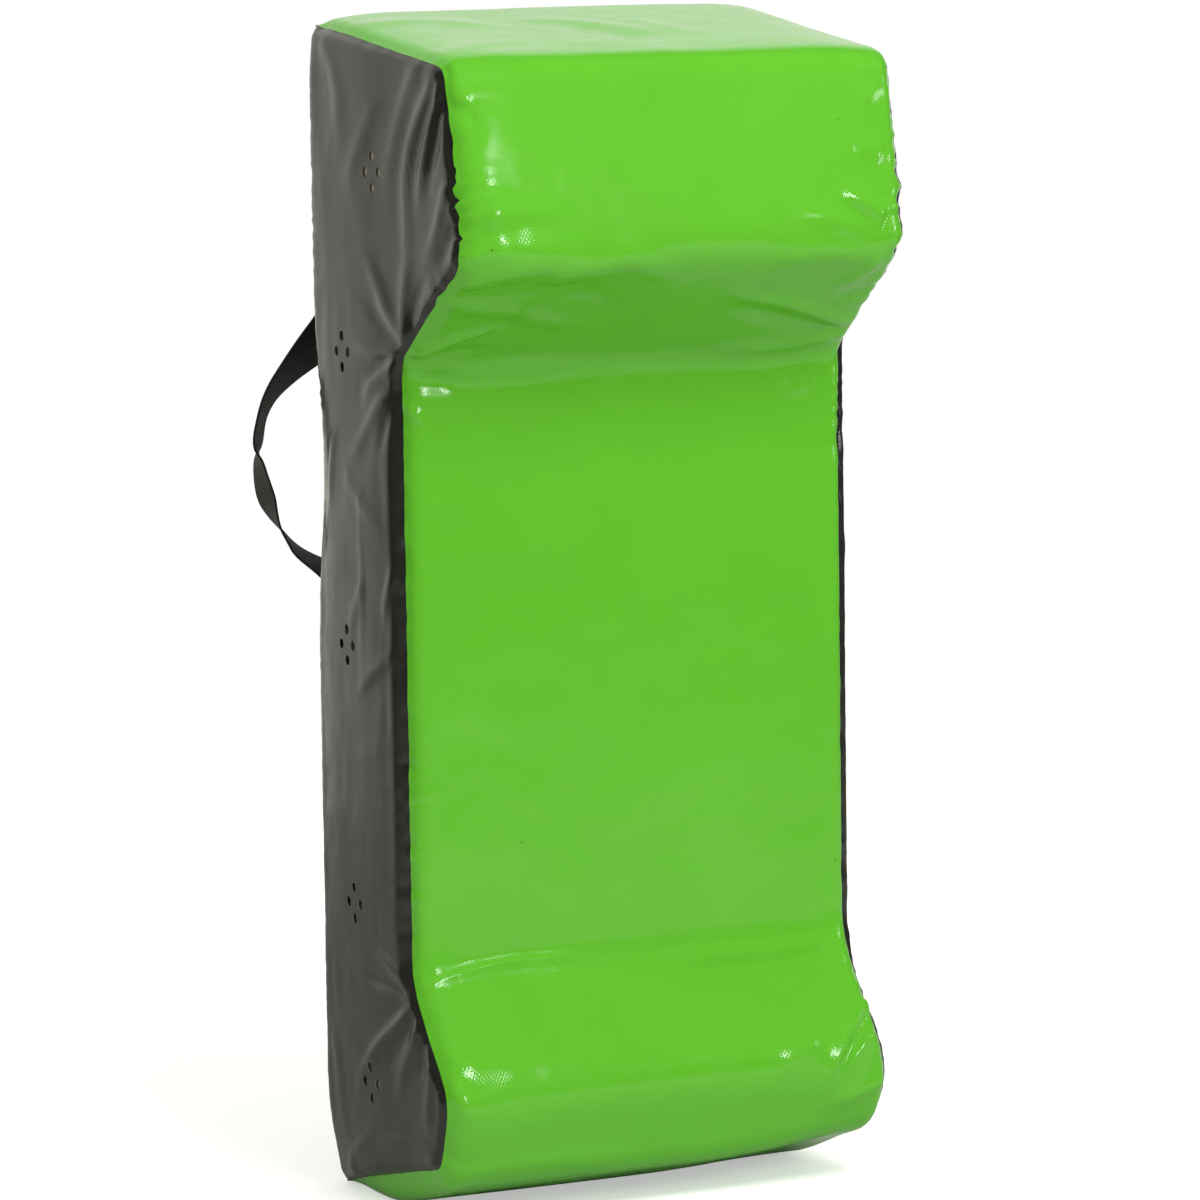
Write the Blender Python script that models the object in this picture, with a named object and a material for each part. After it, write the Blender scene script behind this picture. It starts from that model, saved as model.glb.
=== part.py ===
"""Tackle wedge: a foam training pad in a sewn cover, closed by a zip, with two webbing handles.

Metres, +Z up. X runs across the pad, -Y is the side that is tackled, +Y the holder's side.
The origin is on the floor, in the middle of the flat patch that the pad stands on.
Points of the side outline are written as (depth in front of the back seams, height).
"""

import math
from typing import Callable, NamedTuple

import bmesh
import bpy
from mathutils import Vector

# Side outline along the side seams, from the floor up
BASE_LIFT = 0.001
BASE_RISE = 0.048
FOOT_FACE_HEIGHT = 0.062
FOOT_SLOPE_HEIGHT = 0.088
WAIST_HEIGHT = 0.517
HEAD_SLOPE_HEIGHT = 0.088
HEAD_FACE_HEIGHT = 0.155
TOP_FALL = 0.035
WAIST_DEPTH = 0.163
FOOT_STEP = 0.063
BASE_SETBACK = 0.016
HEAD_STEP = 0.110
TOP_SETBACK = 0.025
SEAM_WIDTH = 0.414
HEEL_DEPTH = 0.130
ORIGIN_DEPTH = 0.070

# How far the outline bends before and after each corner, and how much softer the middle is
BASE_FRONT_BEND = 0.008
FOOT_NOSE_BEND = 0.020
FOOT_WAIST_BEND = 0.028
WAIST_HEAD_BEND = 0.008
HEAD_NOSE_BEND = 0.018
TOP_FRONT_BEND = 0.012
HEEL_BEND = 0.020
BACK_EDGE_BEND = 0.007
MIDDLE_SOFTNESS = 0.008

# How far each face swells beyond its seams
BASE_FRONT_SWELL = 0.018
FOOT_FACE_SWELL = 0.010
FOOT_SLOPE_SWELL = 0.010
WAIST_SWELL = 0.009
HEAD_SLOPE_SWELL = 0.010
HEAD_FACE_SWELL = 0.012
TOP_SWELL = 0.008
SIDE_SWELL = 0.008
BACK_SWELL = 0.008
SWELL_REACH = 1.6

# Cover and foam
COVER_THICKNESS = 0.0012
COVER_FOAM_GAP = 0.0004
TOUCH_GAP = 0.0003
CORNER_CUT = 0.003
BACK_BOARD_DEPTH = 0.050
CORE_DEPTH = 0.060
HEAD_BLOCK_LAP = 0.021
FOOT_BLOCK_LAP = 0.036
CUT_MARGIN = 0.1

# Vents in the side covers: diamonds of four round holes
VENT_RADIUS = 0.0045
VENT_SPREAD = 0.0125
VENT_DRILL_LENGTH = 0.032
VENTS_BELOW_TOP = ((0.127, 0.123), (0.067, 0.274))
VENTS_ABOVE_BASE = ((0.073, 0.474), (0.076, 0.255), (0.101, 0.105))

# Zip down the middle of the back
ZIP_MARGIN = 0.057
ZIP_SLOT_WIDTH = 0.013
ZIP_TAPE_WIDTH = 0.016
ZIP_TAPE_THICKNESS = 0.0008
ZIP_ROW_WIDTH = 0.0028
ZIP_ROW_THICKNESS = 0.0030
ZIP_ROW_SPLIT = 0.0014
ZIP_STOP_HEIGHT = 0.006
ZIP_GROOVE_WIDTH = 0.046
ZIP_GROOVE_DEPTH = 0.007
ZIP_TAB_WIDTH = 0.060
ZIP_TAB_HEIGHT = 0.036
ZIP_TAB_OVERLAP = 0.008
SLIDER_WIDTH = 0.0115
SLIDER_LENGTH = 0.014
SLIDER_PLATE = 0.0015
SLIDER_LIP = 0.0010
SLIDER_DIVIDER_WIDTH = 0.0008
SLIDER_DIVIDER_LENGTH = 0.004
SLIDER_CLEARANCE = 0.0004
SLIDER_ROUNDING = 0.002
BRIDGE_WIDTH = 0.0024
BRIDGE_LENGTH = 0.0084
BRIDGE_WALL = 0.0020
BRIDGE_ROOF = 0.0012
PULLER_LENGTH = 0.034
PULLER_WIDTH = 0.0085
PULLER_THICKNESS = 0.0012
PULLER_ROUNDING = 0.0028
PULLER_WINDOW_LENGTH = 0.0060
PULLER_WINDOW_WIDTH = 0.0050
PULLER_CLEARANCE = 0.0005

# Two webbing handles on the back
HANDLE_INSET = 0.057
HANDLE_DROP = 0.214
HANDLE_SPAN = 0.305
HANDLE_BULGE = 0.096
HANDLE_AXIS_HEIGHT = 0.024
HANDLE_FLOP_DEGREES = 53.0
STRAP_WIDTH = 0.040
STRAP_THICKNESS = 0.0022
STRAP_LIFT_RUN = 0.045
STRAP_SEWN_LENGTH = 0.050
PATCH_WIDTH = 0.070
PATCH_MARGIN = 0.010
PATCH_THICKNESS = 0.0012
PATCH_CORNER = 0.008
HANDLE_BULGE_SHARES = (
    (0.0, 0.0),
    (0.15, 0.28),
    (0.37, 0.89),
    (0.58, 0.96),
    (0.78, 0.66),
    (0.90, 0.07),
    (1.0, 0.0),
)
HANDLE_TWIST_DEGREES = (
    (0.0, 0.0),
    (0.19, 0.0),
    (0.37, 47.0),
    (0.58, 85.0),
    (0.71, 79.0),
    (0.85, 18.0),
    (1.0, 0.0),
)

# Mesh density
BEND_STEPS = 3
BEND_LIMIT = 0.45
EDGE_LEAST = 0.02
ROUNDING_STEPS = 3
PATCH_CORNER_STEPS = 2
SMOOTH_DEGREES = 50.0
WELD_DISTANCE = 1e-5
SLIVER_LENGTH = 1e-6
EDGE_SHARES = (0.0, 0.4, 1.0)
MIDDLE_SHARE = 0.45
STRAP_STEPS = 30
ROOT_STEPS = 10
VENT_SIDES = 8


class Finish(NamedTuple):
    """The look of a sub-part: linear colour, roughness and metallic value."""

    colour: tuple[float, float, float]
    roughness: float
    metallic: float


GREEN_PVC = Finish((0.13, 0.46, 0.03), 0.22, 0.0)
GREY_PVC = Finish((0.022, 0.022, 0.021), 0.38, 0.0)
BLACK_WEBBING = Finish((0.014, 0.014, 0.013), 0.85, 0.0)
BLACK_TAPE = Finish((0.012, 0.012, 0.012), 0.80, 0.0)
BLACK_RESIN = Finish((0.016, 0.016, 0.016), 0.45, 0.0)
ZIP_METAL = Finish((0.45, 0.45, 0.46), 0.30, 1.0)
PALE_FOAM = Finish((0.62, 0.62, 0.60), 0.90, 0.0)


class Corner(NamedTuple):
    """A corner of an outline, how far it bends each way, and the straight steps leading to it."""

    point: Vector
    bend: float
    steps: int


Place = Callable[[int, int, int], Vector]
Path = Callable[[float], Vector]
Span = tuple[float, float]


# Scene and material helpers


def clear_scene() -> None:
    """Remove every object of the open file."""
    for item in list(bpy.data.objects):
        bpy.data.objects.remove(item, do_unlink=True)


def new_collection(name: str) -> bpy.types.Collection:
    """A new collection under the scene's own."""
    collection = bpy.data.collections.new(name)
    bpy.context.scene.collection.children.link(collection)
    return collection


def add_part(
    name: str,
    shape: bmesh.types.BMesh,
    finish: Finish,
    pivot: Vector | None = None,
) -> bpy.types.Object:
    """Make a sub-part from a finished shape, with its origin at its pivot or its middle."""
    if pivot is None:
        corners = [vertex.co for vertex in shape.verts]
        low = Vector([min(corner[axis] for corner in corners) for axis in range(3)])
        high = Vector([max(corner[axis] for corner in corners) for axis in range(3)])
        pivot = (low + high) / 2
    bmesh.ops.translate(shape, verts=shape.verts, vec=-pivot)
    mesh = bpy.data.meshes.new(name)
    shape.to_mesh(mesh)
    shape.free()
    part = bpy.data.objects.new(name, mesh)
    part.location = pivot
    PARTS.objects.link(part)
    part.data.materials.append(new_material(name, finish))
    return part


def new_material(name: str, finish: Finish) -> bpy.types.Material:
    """A Principled material for one sub-part."""
    material = bpy.data.materials.new(name)
    material.use_nodes = True
    shader = material.node_tree.nodes["Principled BSDF"]
    shader.inputs["Base Color"].default_value = (*finish.colour, 1.0)
    shader.inputs["Roughness"].default_value = finish.roughness
    shader.inputs["Metallic"].default_value = finish.metallic
    return material


def shade_smooth(part: bpy.types.Object) -> None:
    """Shade a rounded piece smooth, with its sharp edges kept."""
    part.data.shade_smooth()
    part.data.set_sharp_from_angle(angle=math.radians(SMOOTH_DEGREES))


# Shape helpers


def box_shape(low: Vector, high: Vector) -> bmesh.types.BMesh:
    """A box between two corners."""
    shape = bmesh.new()
    bmesh.ops.create_cube(shape, size=1.0)
    bmesh.ops.scale(shape, verts=shape.verts, vec=high - low)
    bmesh.ops.translate(shape, verts=shape.verts, vec=(low + high) / 2)
    return shape


def add_box(name: str, low: Vector, high: Vector, finish: Finish) -> bpy.types.Object:
    """A box-shaped sub-part between two corners."""
    return add_part(name, box_shape(low, high), finish)


def slab_shape(columns: int, rows: int, place: Place) -> bmesh.types.BMesh:
    """A sheet with a thickness: a grid in two layers, each vertex placed by column, row and layer."""
    shape = bmesh.new()
    bmesh.ops.create_grid(shape, x_segments=columns, y_segments=rows, size=1.0)
    top = bmesh.ops.extrude_face_region(shape, geom=shape.faces[:], use_keep_orig=True)
    for item in top["geom"]:
        if isinstance(item, bmesh.types.BMVert):
            item.co.z = 1.0
    for vertex in shape.verts:
        column = round((vertex.co.x + 1) / 2 * columns)
        row = round((vertex.co.y + 1) / 2 * rows)
        vertex.co = place(column, row, round(vertex.co.z))
    return closed(shape)


def closed(shape: bmesh.types.BMesh) -> bmesh.types.BMesh:
    """Split a shape's faces along their short diagonals, so that nested sheets bend alike."""
    bmesh.ops.triangulate(shape, faces=shape.faces, quad_method="SHORT_EDGE")
    bmesh.ops.recalc_face_normals(shape, faces=shape.faces)
    return shape


def through_edges(shape: bmesh.types.BMesh, least: float) -> list[bmesh.types.BMEdge]:
    """The edges of a shape that run along Y for more than a given length."""
    return [edge for edge in shape.edges if abs(edge.verts[0].co.y - edge.verts[1].co.y) > least]


def round_off(shape: bmesh.types.BMesh, edges: list[bmesh.types.BMEdge], offset: float) -> None:
    """Round the given edges of a shape."""
    bmesh.ops.bevel(shape, geom=edges, offset=offset, segments=ROUNDING_STEPS, affect="EDGES", profile=0.5)


def add_cutter(name: str, shape: bmesh.types.BMesh) -> bpy.types.Object:
    """A hidden guide that shapes a part."""
    mesh = bpy.data.meshes.new(name)
    shape.to_mesh(mesh)
    shape.free()
    cutter = bpy.data.objects.new(name, mesh)
    cutter.hide_render = True
    cutter.display_type = "WIRE"
    CUTTERS.objects.link(cutter)
    return cutter


def boolean(part: bpy.types.Object, cutter: bpy.types.Object, operation: str) -> None:
    """Shape a part with a cutter."""
    modifier = part.modifiers.new(cutter.name, "BOOLEAN")
    modifier.operation = operation
    modifier.object = cutter
    modifier.solver = "EXACT"


def rounded(share: float) -> float:
    """Height of a rounded edge, 0 to 1, at a share of its reach from the seam."""
    inner = 1 - min(max(share, 0.0), 1.0)
    return 1 - inner * inner


def smooth_value(knots: tuple[tuple[float, float], ...], share: float) -> float:
    """A smooth curve through the knots, level at both ends."""
    slopes = [0.0]
    for index in range(1, len(knots) - 1):
        before, after = knots[index - 1], knots[index + 1]
        slopes.append((after[1] - before[1]) / (after[0] - before[0]))
    slopes.append(0.0)
    index = max(i for i in range(len(knots) - 1) if knots[i][0] <= share or i == 0)
    (start, low), (end, high) = knots[index], knots[index + 1]
    run = end - start
    t = (share - start) / run
    blend_low = (1 + 2 * t) * (1 - t) ** 2
    blend_high = t * t * (3 - 2 * t)
    bend = slopes[index] * t * (1 - t) ** 2 - slopes[index + 1] * t * t * (1 - t)
    return low * blend_low + high * blend_high + bend * run


# The pad's outlines


def main_corners() -> list[Vector]:
    """The side seam's corners, from the back of the base round the front to the back of the top."""
    base_front = WAIST_DEPTH + FOOT_STEP - BASE_SETBACK
    head_nose = WAIST_DEPTH + HEAD_STEP
    depths = (
        0.0,
        base_front,
        WAIST_DEPTH + FOOT_STEP,
        WAIST_DEPTH,
        WAIST_DEPTH,
        head_nose,
        head_nose - TOP_SETBACK,
        0.0,
    )
    rises = (
        BASE_LIFT,
        BASE_RISE,
        FOOT_FACE_HEIGHT,
        FOOT_SLOPE_HEIGHT,
        WAIST_HEIGHT,
        HEAD_SLOPE_HEIGHT,
        HEAD_FACE_HEIGHT,
        TOP_FALL,
    )
    return [Vector((depth, sum(rises[: index + 1]))) for index, depth in enumerate(depths)]


def seam_top() -> float:
    """The height of the seam at the top of the back."""
    return main_corners()[-1].y


def outward(start: Vector, end: Vector) -> Vector:
    """The direction out of the pad, square to a stretch of its outline."""
    along = (end - start).normalized()
    return Vector((along.y, -along.x))


def shifted(corners: list[Vector], shifts: tuple[float, ...]) -> list[Vector]:
    """The corners after each stretch between them has moved outward by its own shift."""
    normals = [outward(corners[i], corners[i + 1]) for i in range(len(corners) - 1)]
    moved = [corners[0] + normals[0] * shifts[0]]
    for index in range(1, len(corners) - 1):
        before, after = normals[index - 1], normals[index]
        turn = before.dot(after)
        across = (before - after * turn) * shifts[index - 1] + (after - before * turn) * shifts[index]
        moved.append(corners[index] + across / (1 - turn * turn))
    moved.append(corners[-1] + normals[-1] * shifts[-1])
    return moved


def at_depth(start: Vector, end: Vector, depth: float) -> Vector:
    """The point of a straight stretch at a depth."""
    share = (depth - start.x) / (end.x - start.x)
    return start.lerp(end, share)


SWELLS = (
    BASE_FRONT_SWELL,
    FOOT_FACE_SWELL,
    FOOT_SLOPE_SWELL,
    WAIST_SWELL,
    HEAD_SLOPE_SWELL,
    HEAD_FACE_SWELL,
    TOP_SWELL,
)
MAIN_BENDS = (
    BASE_FRONT_BEND,
    FOOT_NOSE_BEND,
    FOOT_WAIST_BEND,
    WAIST_HEAD_BEND,
    HEAD_NOSE_BEND,
    TOP_FRONT_BEND,
)
BACK_REACH = BACK_SWELL * SWELL_REACH
EDGE_REACH = TOP_SWELL * SWELL_REACH
MAIN_STEPS = (1, 1, 1, 6, 2, 3)
WAIST_FOOT_CORNER = 3
WAIST_HEAD_CORNER = 4


def with_edges(main: list[Vector], low: list[Vector], high: Vector, extra_bend: float) -> list[Corner]:
    """All corners of an outline: its main ones, two on the base and one near the top's back edge."""
    corners = [Corner(main[0], 0.0, 0)]
    corners.append(Corner(low[0], BACK_EDGE_BEND, 1))
    corners.append(Corner(low[1], HEEL_BEND, 2))
    for point, bend, steps in zip(main[1:-1], MAIN_BENDS, MAIN_STEPS):
        corners.append(Corner(point, bend + extra_bend, steps))
    corners.append(Corner(high, BACK_EDGE_BEND, 3))
    corners.append(Corner(main[-1], 0.0, 1))
    return corners


def seam_corners(inset: float) -> list[Corner]:
    """The outline along a side seam, drawn in by an inset."""
    main = shifted(main_corners(), (-inset,) * len(SWELLS))
    main[0] = at_depth(main[0], main[1], inset)
    main[-1] = at_depth(main[-1], main[-2], inset)
    base_points = [at_depth(main[0], main[1], depth) for depth in (EDGE_REACH + inset, HEEL_DEPTH)]
    top_point = at_depth(main[-1], main[-2], EDGE_REACH + inset)
    return with_edges(main, base_points, top_point, 0.0)


def middle_corners(inset: float) -> list[Corner]:
    """The outline down the pad's middle, where its faces swell most, drawn in by an inset."""
    seam = seam_corners(inset)
    main = shifted(main_corners(), tuple(swell - inset for swell in SWELLS))
    top_point = at_depth(main[-1], main[-2], EDGE_REACH + inset)
    main[0], main[-1] = seam[0].point, seam[-1].point
    base_points = [Vector((depth, inset)) for depth in (EDGE_REACH + inset, HEEL_DEPTH)]
    return with_edges(main, base_points, top_point, MIDDLE_SOFTNESS)


def stations(corners: list[Corner]) -> list[Vector]:
    """Points along an outline: even straight steps, and a bend at each corner."""
    points = [corners[0].point]
    for index in range(1, len(corners)):
        corner = corners[index]
        before = corners[index - 1].point - corner.point
        start, end = corner.point, corner.point
        if index < len(corners) - 1:
            after = corners[index + 1].point - corner.point
            bend = min(corner.bend, BEND_LIMIT * before.length, BEND_LIMIT * after.length)
            start = corner.point + before.normalized() * bend
            end = corner.point + after.normalized() * bend
        last = points[-1]
        points += [last.lerp(start, step / corner.steps) for step in range(1, corner.steps + 1)]
        if index < len(corners) - 1:
            for step in range(1, BEND_STEPS + 1):
                share = step / BEND_STEPS
                points.append(start.lerp(corner.point, share).lerp(corner.point.lerp(end, share), share))
    return points


class Outline:
    """The pad's outlines at one inset, with the rules that place points on its faces."""

    def __init__(self, inset: float) -> None:
        """Work out both outlines and the back edge's heights."""
        self.inset = inset
        self.half = SEAM_WIDTH / 2 - inset
        self.seam = stations(seam_corners(inset))
        self.middle = stations(middle_corners(inset))
        self.rows = len(self.seam) - 1
        self.back_heights = self._back_heights()
        self.rim = self.seam + [Vector((inset, height)) for height in reversed(self.back_heights)]

    def _back_heights(self) -> list[float]:
        """Heights on the back edge, one across from each station, spread as the stations are."""
        runs = [(end - start).length for start, end in zip(self.seam, self.seam[1:])]
        bottom, top = self.seam[0].y, self.seam[-1].y
        return [bottom + (top - bottom) * sum(runs[:count]) / sum(runs) for count in range(len(self.seam))]

    def across(self, row: int, shares: tuple[float, ...], trim: float) -> list[float]:
        """Where the columns of a face stand across the pad, left to right."""
        reach = max((self.middle[row] - self.seam[row]).length * SWELL_REACH, BACK_REACH)
        left = [-self.half + max(share * reach, trim) for share in shares]
        left.append(-self.half * MIDDLE_SHARE)
        return left + [0.0] + [-x for x in reversed(left)]

    def front(self, row: int, x: float, trim: float) -> Vector:
        """A point on the face that wraps the base, the front and the top."""
        seam, middle = self.seam[row], self.middle[row]
        reach = max((middle - seam).length * SWELL_REACH, BACK_REACH)
        point = seam.lerp(middle, rounded((self.half - abs(x)) / reach))
        if row in (0, self.rows):
            inner = self.seam[1] if row == 0 else self.seam[-2]
            point = point + (inner - seam).normalized() * trim
        return world(x, point.x, point.y)

    def side(self, row: int, column: int, shares: tuple[float, ...], trim: float, cut: float) -> Vector:
        """A point on the left side face, by its column from the back edge to the outline."""
        seam = self.seam[row]
        back = Vector((self.inset, self.back_heights[row]))
        if row in (0, self.rows):
            inner = self.seam[1] if row == 0 else self.seam[-2]
            seam = seam + (inner - seam).normalized() * cut
            back = back + Vector((0.0, cut if row == 0 else -cut))
        span = (seam - back).length
        reach = SIDE_SWELL * SWELL_REACH
        near = [min(max(share * reach, trim), span * share_limit(share)) for share in shares]
        runs = near + [span - run for run in reversed(near)]
        point = back.lerp(seam, runs[column] / span) if span > 0 else seam
        swell = SIDE_SWELL * rounded(distance_to_rim(point, self.rim) / reach)
        return world(-self.half - swell, point.x, point.y)

    def back(self, row: int, x: float, trim: float) -> Vector:
        """A point on the back face."""
        height = self.back_heights[row]
        if row in (0, self.rows):
            height += trim if row == 0 else -trim
        edge = min(self.half - abs(x), height - self.seam[0].y, self.seam[-1].y - height)
        swell = BACK_SWELL * rounded(edge / BACK_REACH)
        return world(x, self.inset - swell, height)


def share_limit(share: float) -> float:
    """The most of a short side row that an edge column may take, so that columns never cross."""
    return EDGE_LEAST + BEND_LIMIT * share


def world(x: float, depth: float, height: float) -> Vector:
    """A point of the pad in the part's own frame."""
    return Vector((x, ORIGIN_DEPTH - depth, height))


def distance_to_rim(point: Vector, rim: list[Vector]) -> float:
    """The distance from a point of the side to the nearest seam."""
    nearest = math.inf
    for start, end in zip(rim, rim[1:]):
        run = end - start
        if run.length_squared == 0:
            continue
        share = min(max((point - start).dot(run) / run.length_squared, 0.0), 1.0)
        nearest = min(nearest, (point - start - run * share).length)
    return nearest


# The cover


def cover_layers() -> tuple[Outline, Outline]:
    """The outlines of the cover's inner and outer faces, in the slab's order of layers."""
    return Outline(COVER_THICKNESS), Outline(0.0)


def make_front_cover(layers: tuple[Outline, Outline]) -> None:
    """The green cover that wraps the base, the front and the top in one piece."""
    trim = TOUCH_GAP / 2

    def place(column: int, row: int, layer: int) -> Vector:
        outline = layers[layer]
        x = outline.across(row, EDGE_SHARES, trim)[column]
        return outline.front(row, x, trim)

    columns = 2 * len(EDGE_SHARES) + 2
    cover = add_part("front_cover", slab_shape(columns, layers[0].rows, place), GREEN_PVC)
    shade_smooth(cover)


def make_side_cover(layers: tuple[Outline, Outline], name: str, side: int) -> None:
    """A charcoal side cover with its vents."""
    trim = TOUCH_GAP / 2

    def place(column: int, row: int, layer: int) -> Vector:
        point = layers[layer].side(row, column, EDGE_SHARES, trim, CORNER_CUT)
        return Vector((-side * point.x, point.y, point.z))

    columns = 2 * len(EDGE_SHARES) - 1
    cover = add_part(name, slab_shape(columns, layers[0].rows, place), GREY_PVC)
    boolean(cover, add_cutter(f"{name}_vents", vent_shape(side)), "DIFFERENCE")
    shade_smooth(cover)


def vent_shape(side: int) -> bmesh.types.BMesh:
    """Cylinders through one side cover, four round each vent's centre."""
    shape = bmesh.new()
    centres = [(depth, seam_top() - drop) for depth, drop in VENTS_BELOW_TOP]
    for depth, height in (*centres, *VENTS_ABOVE_BASE):
        for step in range(4):
            angle = step * math.pi / 2
            drilled = bmesh.ops.create_cone(
                shape,
                cap_ends=True,
                segments=VENT_SIDES,
                radius1=VENT_RADIUS,
                radius2=VENT_RADIUS,
                depth=VENT_DRILL_LENGTH,
            )
            for vertex in drilled["verts"]:
                spot = vertex.co.copy()
                vertex.co = world(
                    side * (SEAM_WIDTH / 2 + spot.z),
                    depth + VENT_SPREAD * math.cos(angle) + spot.y,
                    height + VENT_SPREAD * math.sin(angle) + spot.x,
                )
    bmesh.ops.recalc_face_normals(shape, faces=shape.faces)
    return shape


def make_back_cover(layers: tuple[Outline, Outline], name: str, side: int) -> None:
    """One half of the charcoal back cover, with its half of the zip's slot."""
    trim = TOUCH_GAP / 2

    def place(column: int, row: int, layer: int) -> Vector:
        outline = layers[layer]
        x = outline.across(0, EDGE_SHARES, trim)[column]
        return outline.back(row, -side * min(x, -trim), trim)

    columns = len(EDGE_SHARES) + 1
    cover = add_part(name, slab_shape(columns, layers[0].rows, place), GREY_PVC)
    low = Vector((-ZIP_SLOT_WIDTH / 2, back_face() - BACK_SWELL, ZIP_MARGIN))
    high = Vector((ZIP_SLOT_WIDTH / 2, back_face() + BACK_SWELL, zip_top()))
    boolean(cover, add_cutter(f"{name}_slot", box_shape(low, high)), "DIFFERENCE")
    shade_smooth(cover)


def back_face() -> float:
    """Where the flat of the back cover's outer face stands along Y."""
    return ORIGIN_DEPTH + BACK_SWELL


# The foam


def pad_body(outline: Outline) -> bmesh.types.BMesh:
    """The whole foam body: its front, two sides and back, welded along the seams."""
    shape = bmesh.new()
    front_columns = 2 * len(EDGE_SHARES) + 2
    side_columns = 2 * len(EDGE_SHARES) - 1

    def add_face(columns: int, place: Callable[[int, int], Vector]) -> None:
        grid = bmesh.ops.create_grid(shape, x_segments=columns, y_segments=outline.rows, size=1.0)
        for vertex in grid["verts"]:
            column = round((vertex.co.x + 1) / 2 * columns)
            row = round((vertex.co.y + 1) / 2 * outline.rows)
            vertex.co = place(column, row)

    def mirrored(point: Vector) -> Vector:
        return Vector((-point.x, point.y, point.z))

    add_face(front_columns, lambda c, r: outline.front(r, outline.across(r, EDGE_SHARES, 0)[c], 0))
    add_face(front_columns, lambda c, r: outline.back(r, outline.across(0, EDGE_SHARES, 0)[c], 0))
    add_face(side_columns, lambda c, r: outline.side(r, c, EDGE_SHARES, 0, 0))
    add_face(side_columns, lambda c, r: mirrored(outline.side(r, c, EDGE_SHARES, 0, 0)))
    bmesh.ops.remove_doubles(shape, verts=shape.verts, dist=WELD_DISTANCE)
    bmesh.ops.dissolve_degenerate(shape, dist=SLIVER_LENGTH, edges=shape.edges)
    return closed(shape)


def make_foam() -> None:
    """The foam body in five glued pieces: a back board, a core and three front blocks."""
    outline = Outline(COVER_THICKNESS + COVER_FOAM_GAP)
    body = bpy.data.meshes.new("pad_body")
    shape = pad_body(outline)
    shape.to_mesh(body)
    shape.free()
    back = -CUT_MARGIN
    front = WAIST_DEPTH + HEAD_STEP + CUT_MARGIN
    top = seam_top() + CUT_MARGIN
    core_front = BACK_BOARD_DEPTH + CORE_DEPTH
    corners = main_corners()
    foot_top = corners[WAIST_FOOT_CORNER].y + FOOT_BLOCK_LAP
    head_foot = corners[WAIST_HEAD_CORNER].y - HEAD_BLOCK_LAP
    pieces = (
        ("foam_back_board", back, BACK_BOARD_DEPTH, -CUT_MARGIN, top),
        ("foam_core_slab", BACK_BOARD_DEPTH, core_front, -CUT_MARGIN, top),
        ("foam_head_block", core_front, front, head_foot, top),
        ("foam_waist_slab", core_front, front, foot_top, head_foot),
        ("foam_foot_block", core_front, front, -CUT_MARGIN, foot_top),
    )
    glue = TOUCH_GAP / 2
    for name, near, far, low, high in pieces:
        piece = bpy.data.objects.new(name, body.copy())
        PARTS.objects.link(piece)
        piece.data.materials.append(new_material(name, PALE_FOAM))
        start = world(-SEAM_WIDTH, far - glue, low + glue)
        end = world(SEAM_WIDTH, near + glue, high - glue)
        boolean(piece, add_cutter(f"{name}_cut", box_shape(start, end)), "INTERSECT")
        if name == "foam_back_board":
            boolean(piece, add_cutter("zip_groove", zip_groove()), "DIFFERENCE")
    bpy.data.meshes.remove(body)


def zip_groove() -> bmesh.types.BMesh:
    """The channel that the zip presses into the foam behind it."""
    half = ZIP_GROOVE_WIDTH / 2
    floor = back_face() - COVER_THICKNESS - ZIP_GROOVE_DEPTH
    low = Vector((-half, floor, ZIP_MARGIN - TOUCH_GAP))
    high = Vector((half, back_face() + BACK_SWELL, zip_top() + TOUCH_GAP))
    return box_shape(low, high)


# The zip


def zip_top() -> float:
    """The height of the zip's upper end."""
    return seam_top() - ZIP_MARGIN


def tape_outer() -> float:
    """Where the outer face of the zip's tape stands along Y, just under the cover."""
    return back_face() - COVER_THICKNESS - TOUCH_GAP


def chain_middle() -> float:
    """Where the middle of the zip's chain stands along Y."""
    return tape_outer() - ZIP_TAPE_THICKNESS / 2


def make_zip_chain() -> None:
    """Both tapes, both rows of teeth, and the stops that end them."""
    row_inner = ZIP_ROW_SPLIT / 2
    row_outer = row_inner + ZIP_ROW_WIDTH
    tape_inner = row_outer + TOUCH_GAP
    tape_span = (tape_inner, tape_inner + ZIP_TAPE_WIDTH)
    tape_ends = (ZIP_MARGIN, zip_top())
    stop_low = ZIP_MARGIN + TOUCH_GAP
    stop_high = zip_top() - TOUCH_GAP - ZIP_STOP_HEIGHT
    row_ends = (stop_low + ZIP_STOP_HEIGHT + TOUCH_GAP, stop_high - TOUCH_GAP)
    half_tape = ZIP_TAPE_THICKNESS / 2
    half_row = ZIP_ROW_THICKNESS / 2
    for name, side in (("left", -1), ("right", 1)):
        add_zip_strip(f"zip_tape_{name}", side, tape_span, tape_ends, half_tape, BLACK_TAPE)
        add_zip_strip(f"zip_teeth_{name}", side, (row_inner, row_outer), row_ends, half_row, BLACK_RESIN)
    for name, foot in (("zip_lower_stop", stop_low), ("zip_upper_stop", stop_high)):
        low = Vector((-row_outer, chain_middle() - half_row, foot))
        high = Vector((row_outer, chain_middle() + half_row, foot + ZIP_STOP_HEIGHT))
        add_box(name, low, high, ZIP_METAL)


def add_zip_strip(name: str, side: int, span: Span, ends: Span, half: float, finish: Finish) -> None:
    """One tape or one row of teeth, on one side of the zip's middle line."""
    edges = sorted((side * span[0], side * span[1]))
    low = Vector((edges[0], chain_middle() - half, ends[0]))
    high = Vector((edges[1], chain_middle() + half, ends[1]))
    add_box(name, low, high, finish)


def slider_outer() -> float:
    """Where the slider's outer plate ends along Y."""
    return chain_middle() + ZIP_ROW_THICKNESS / 2 + SLIDER_CLEARANCE + SLIDER_PLATE


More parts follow.
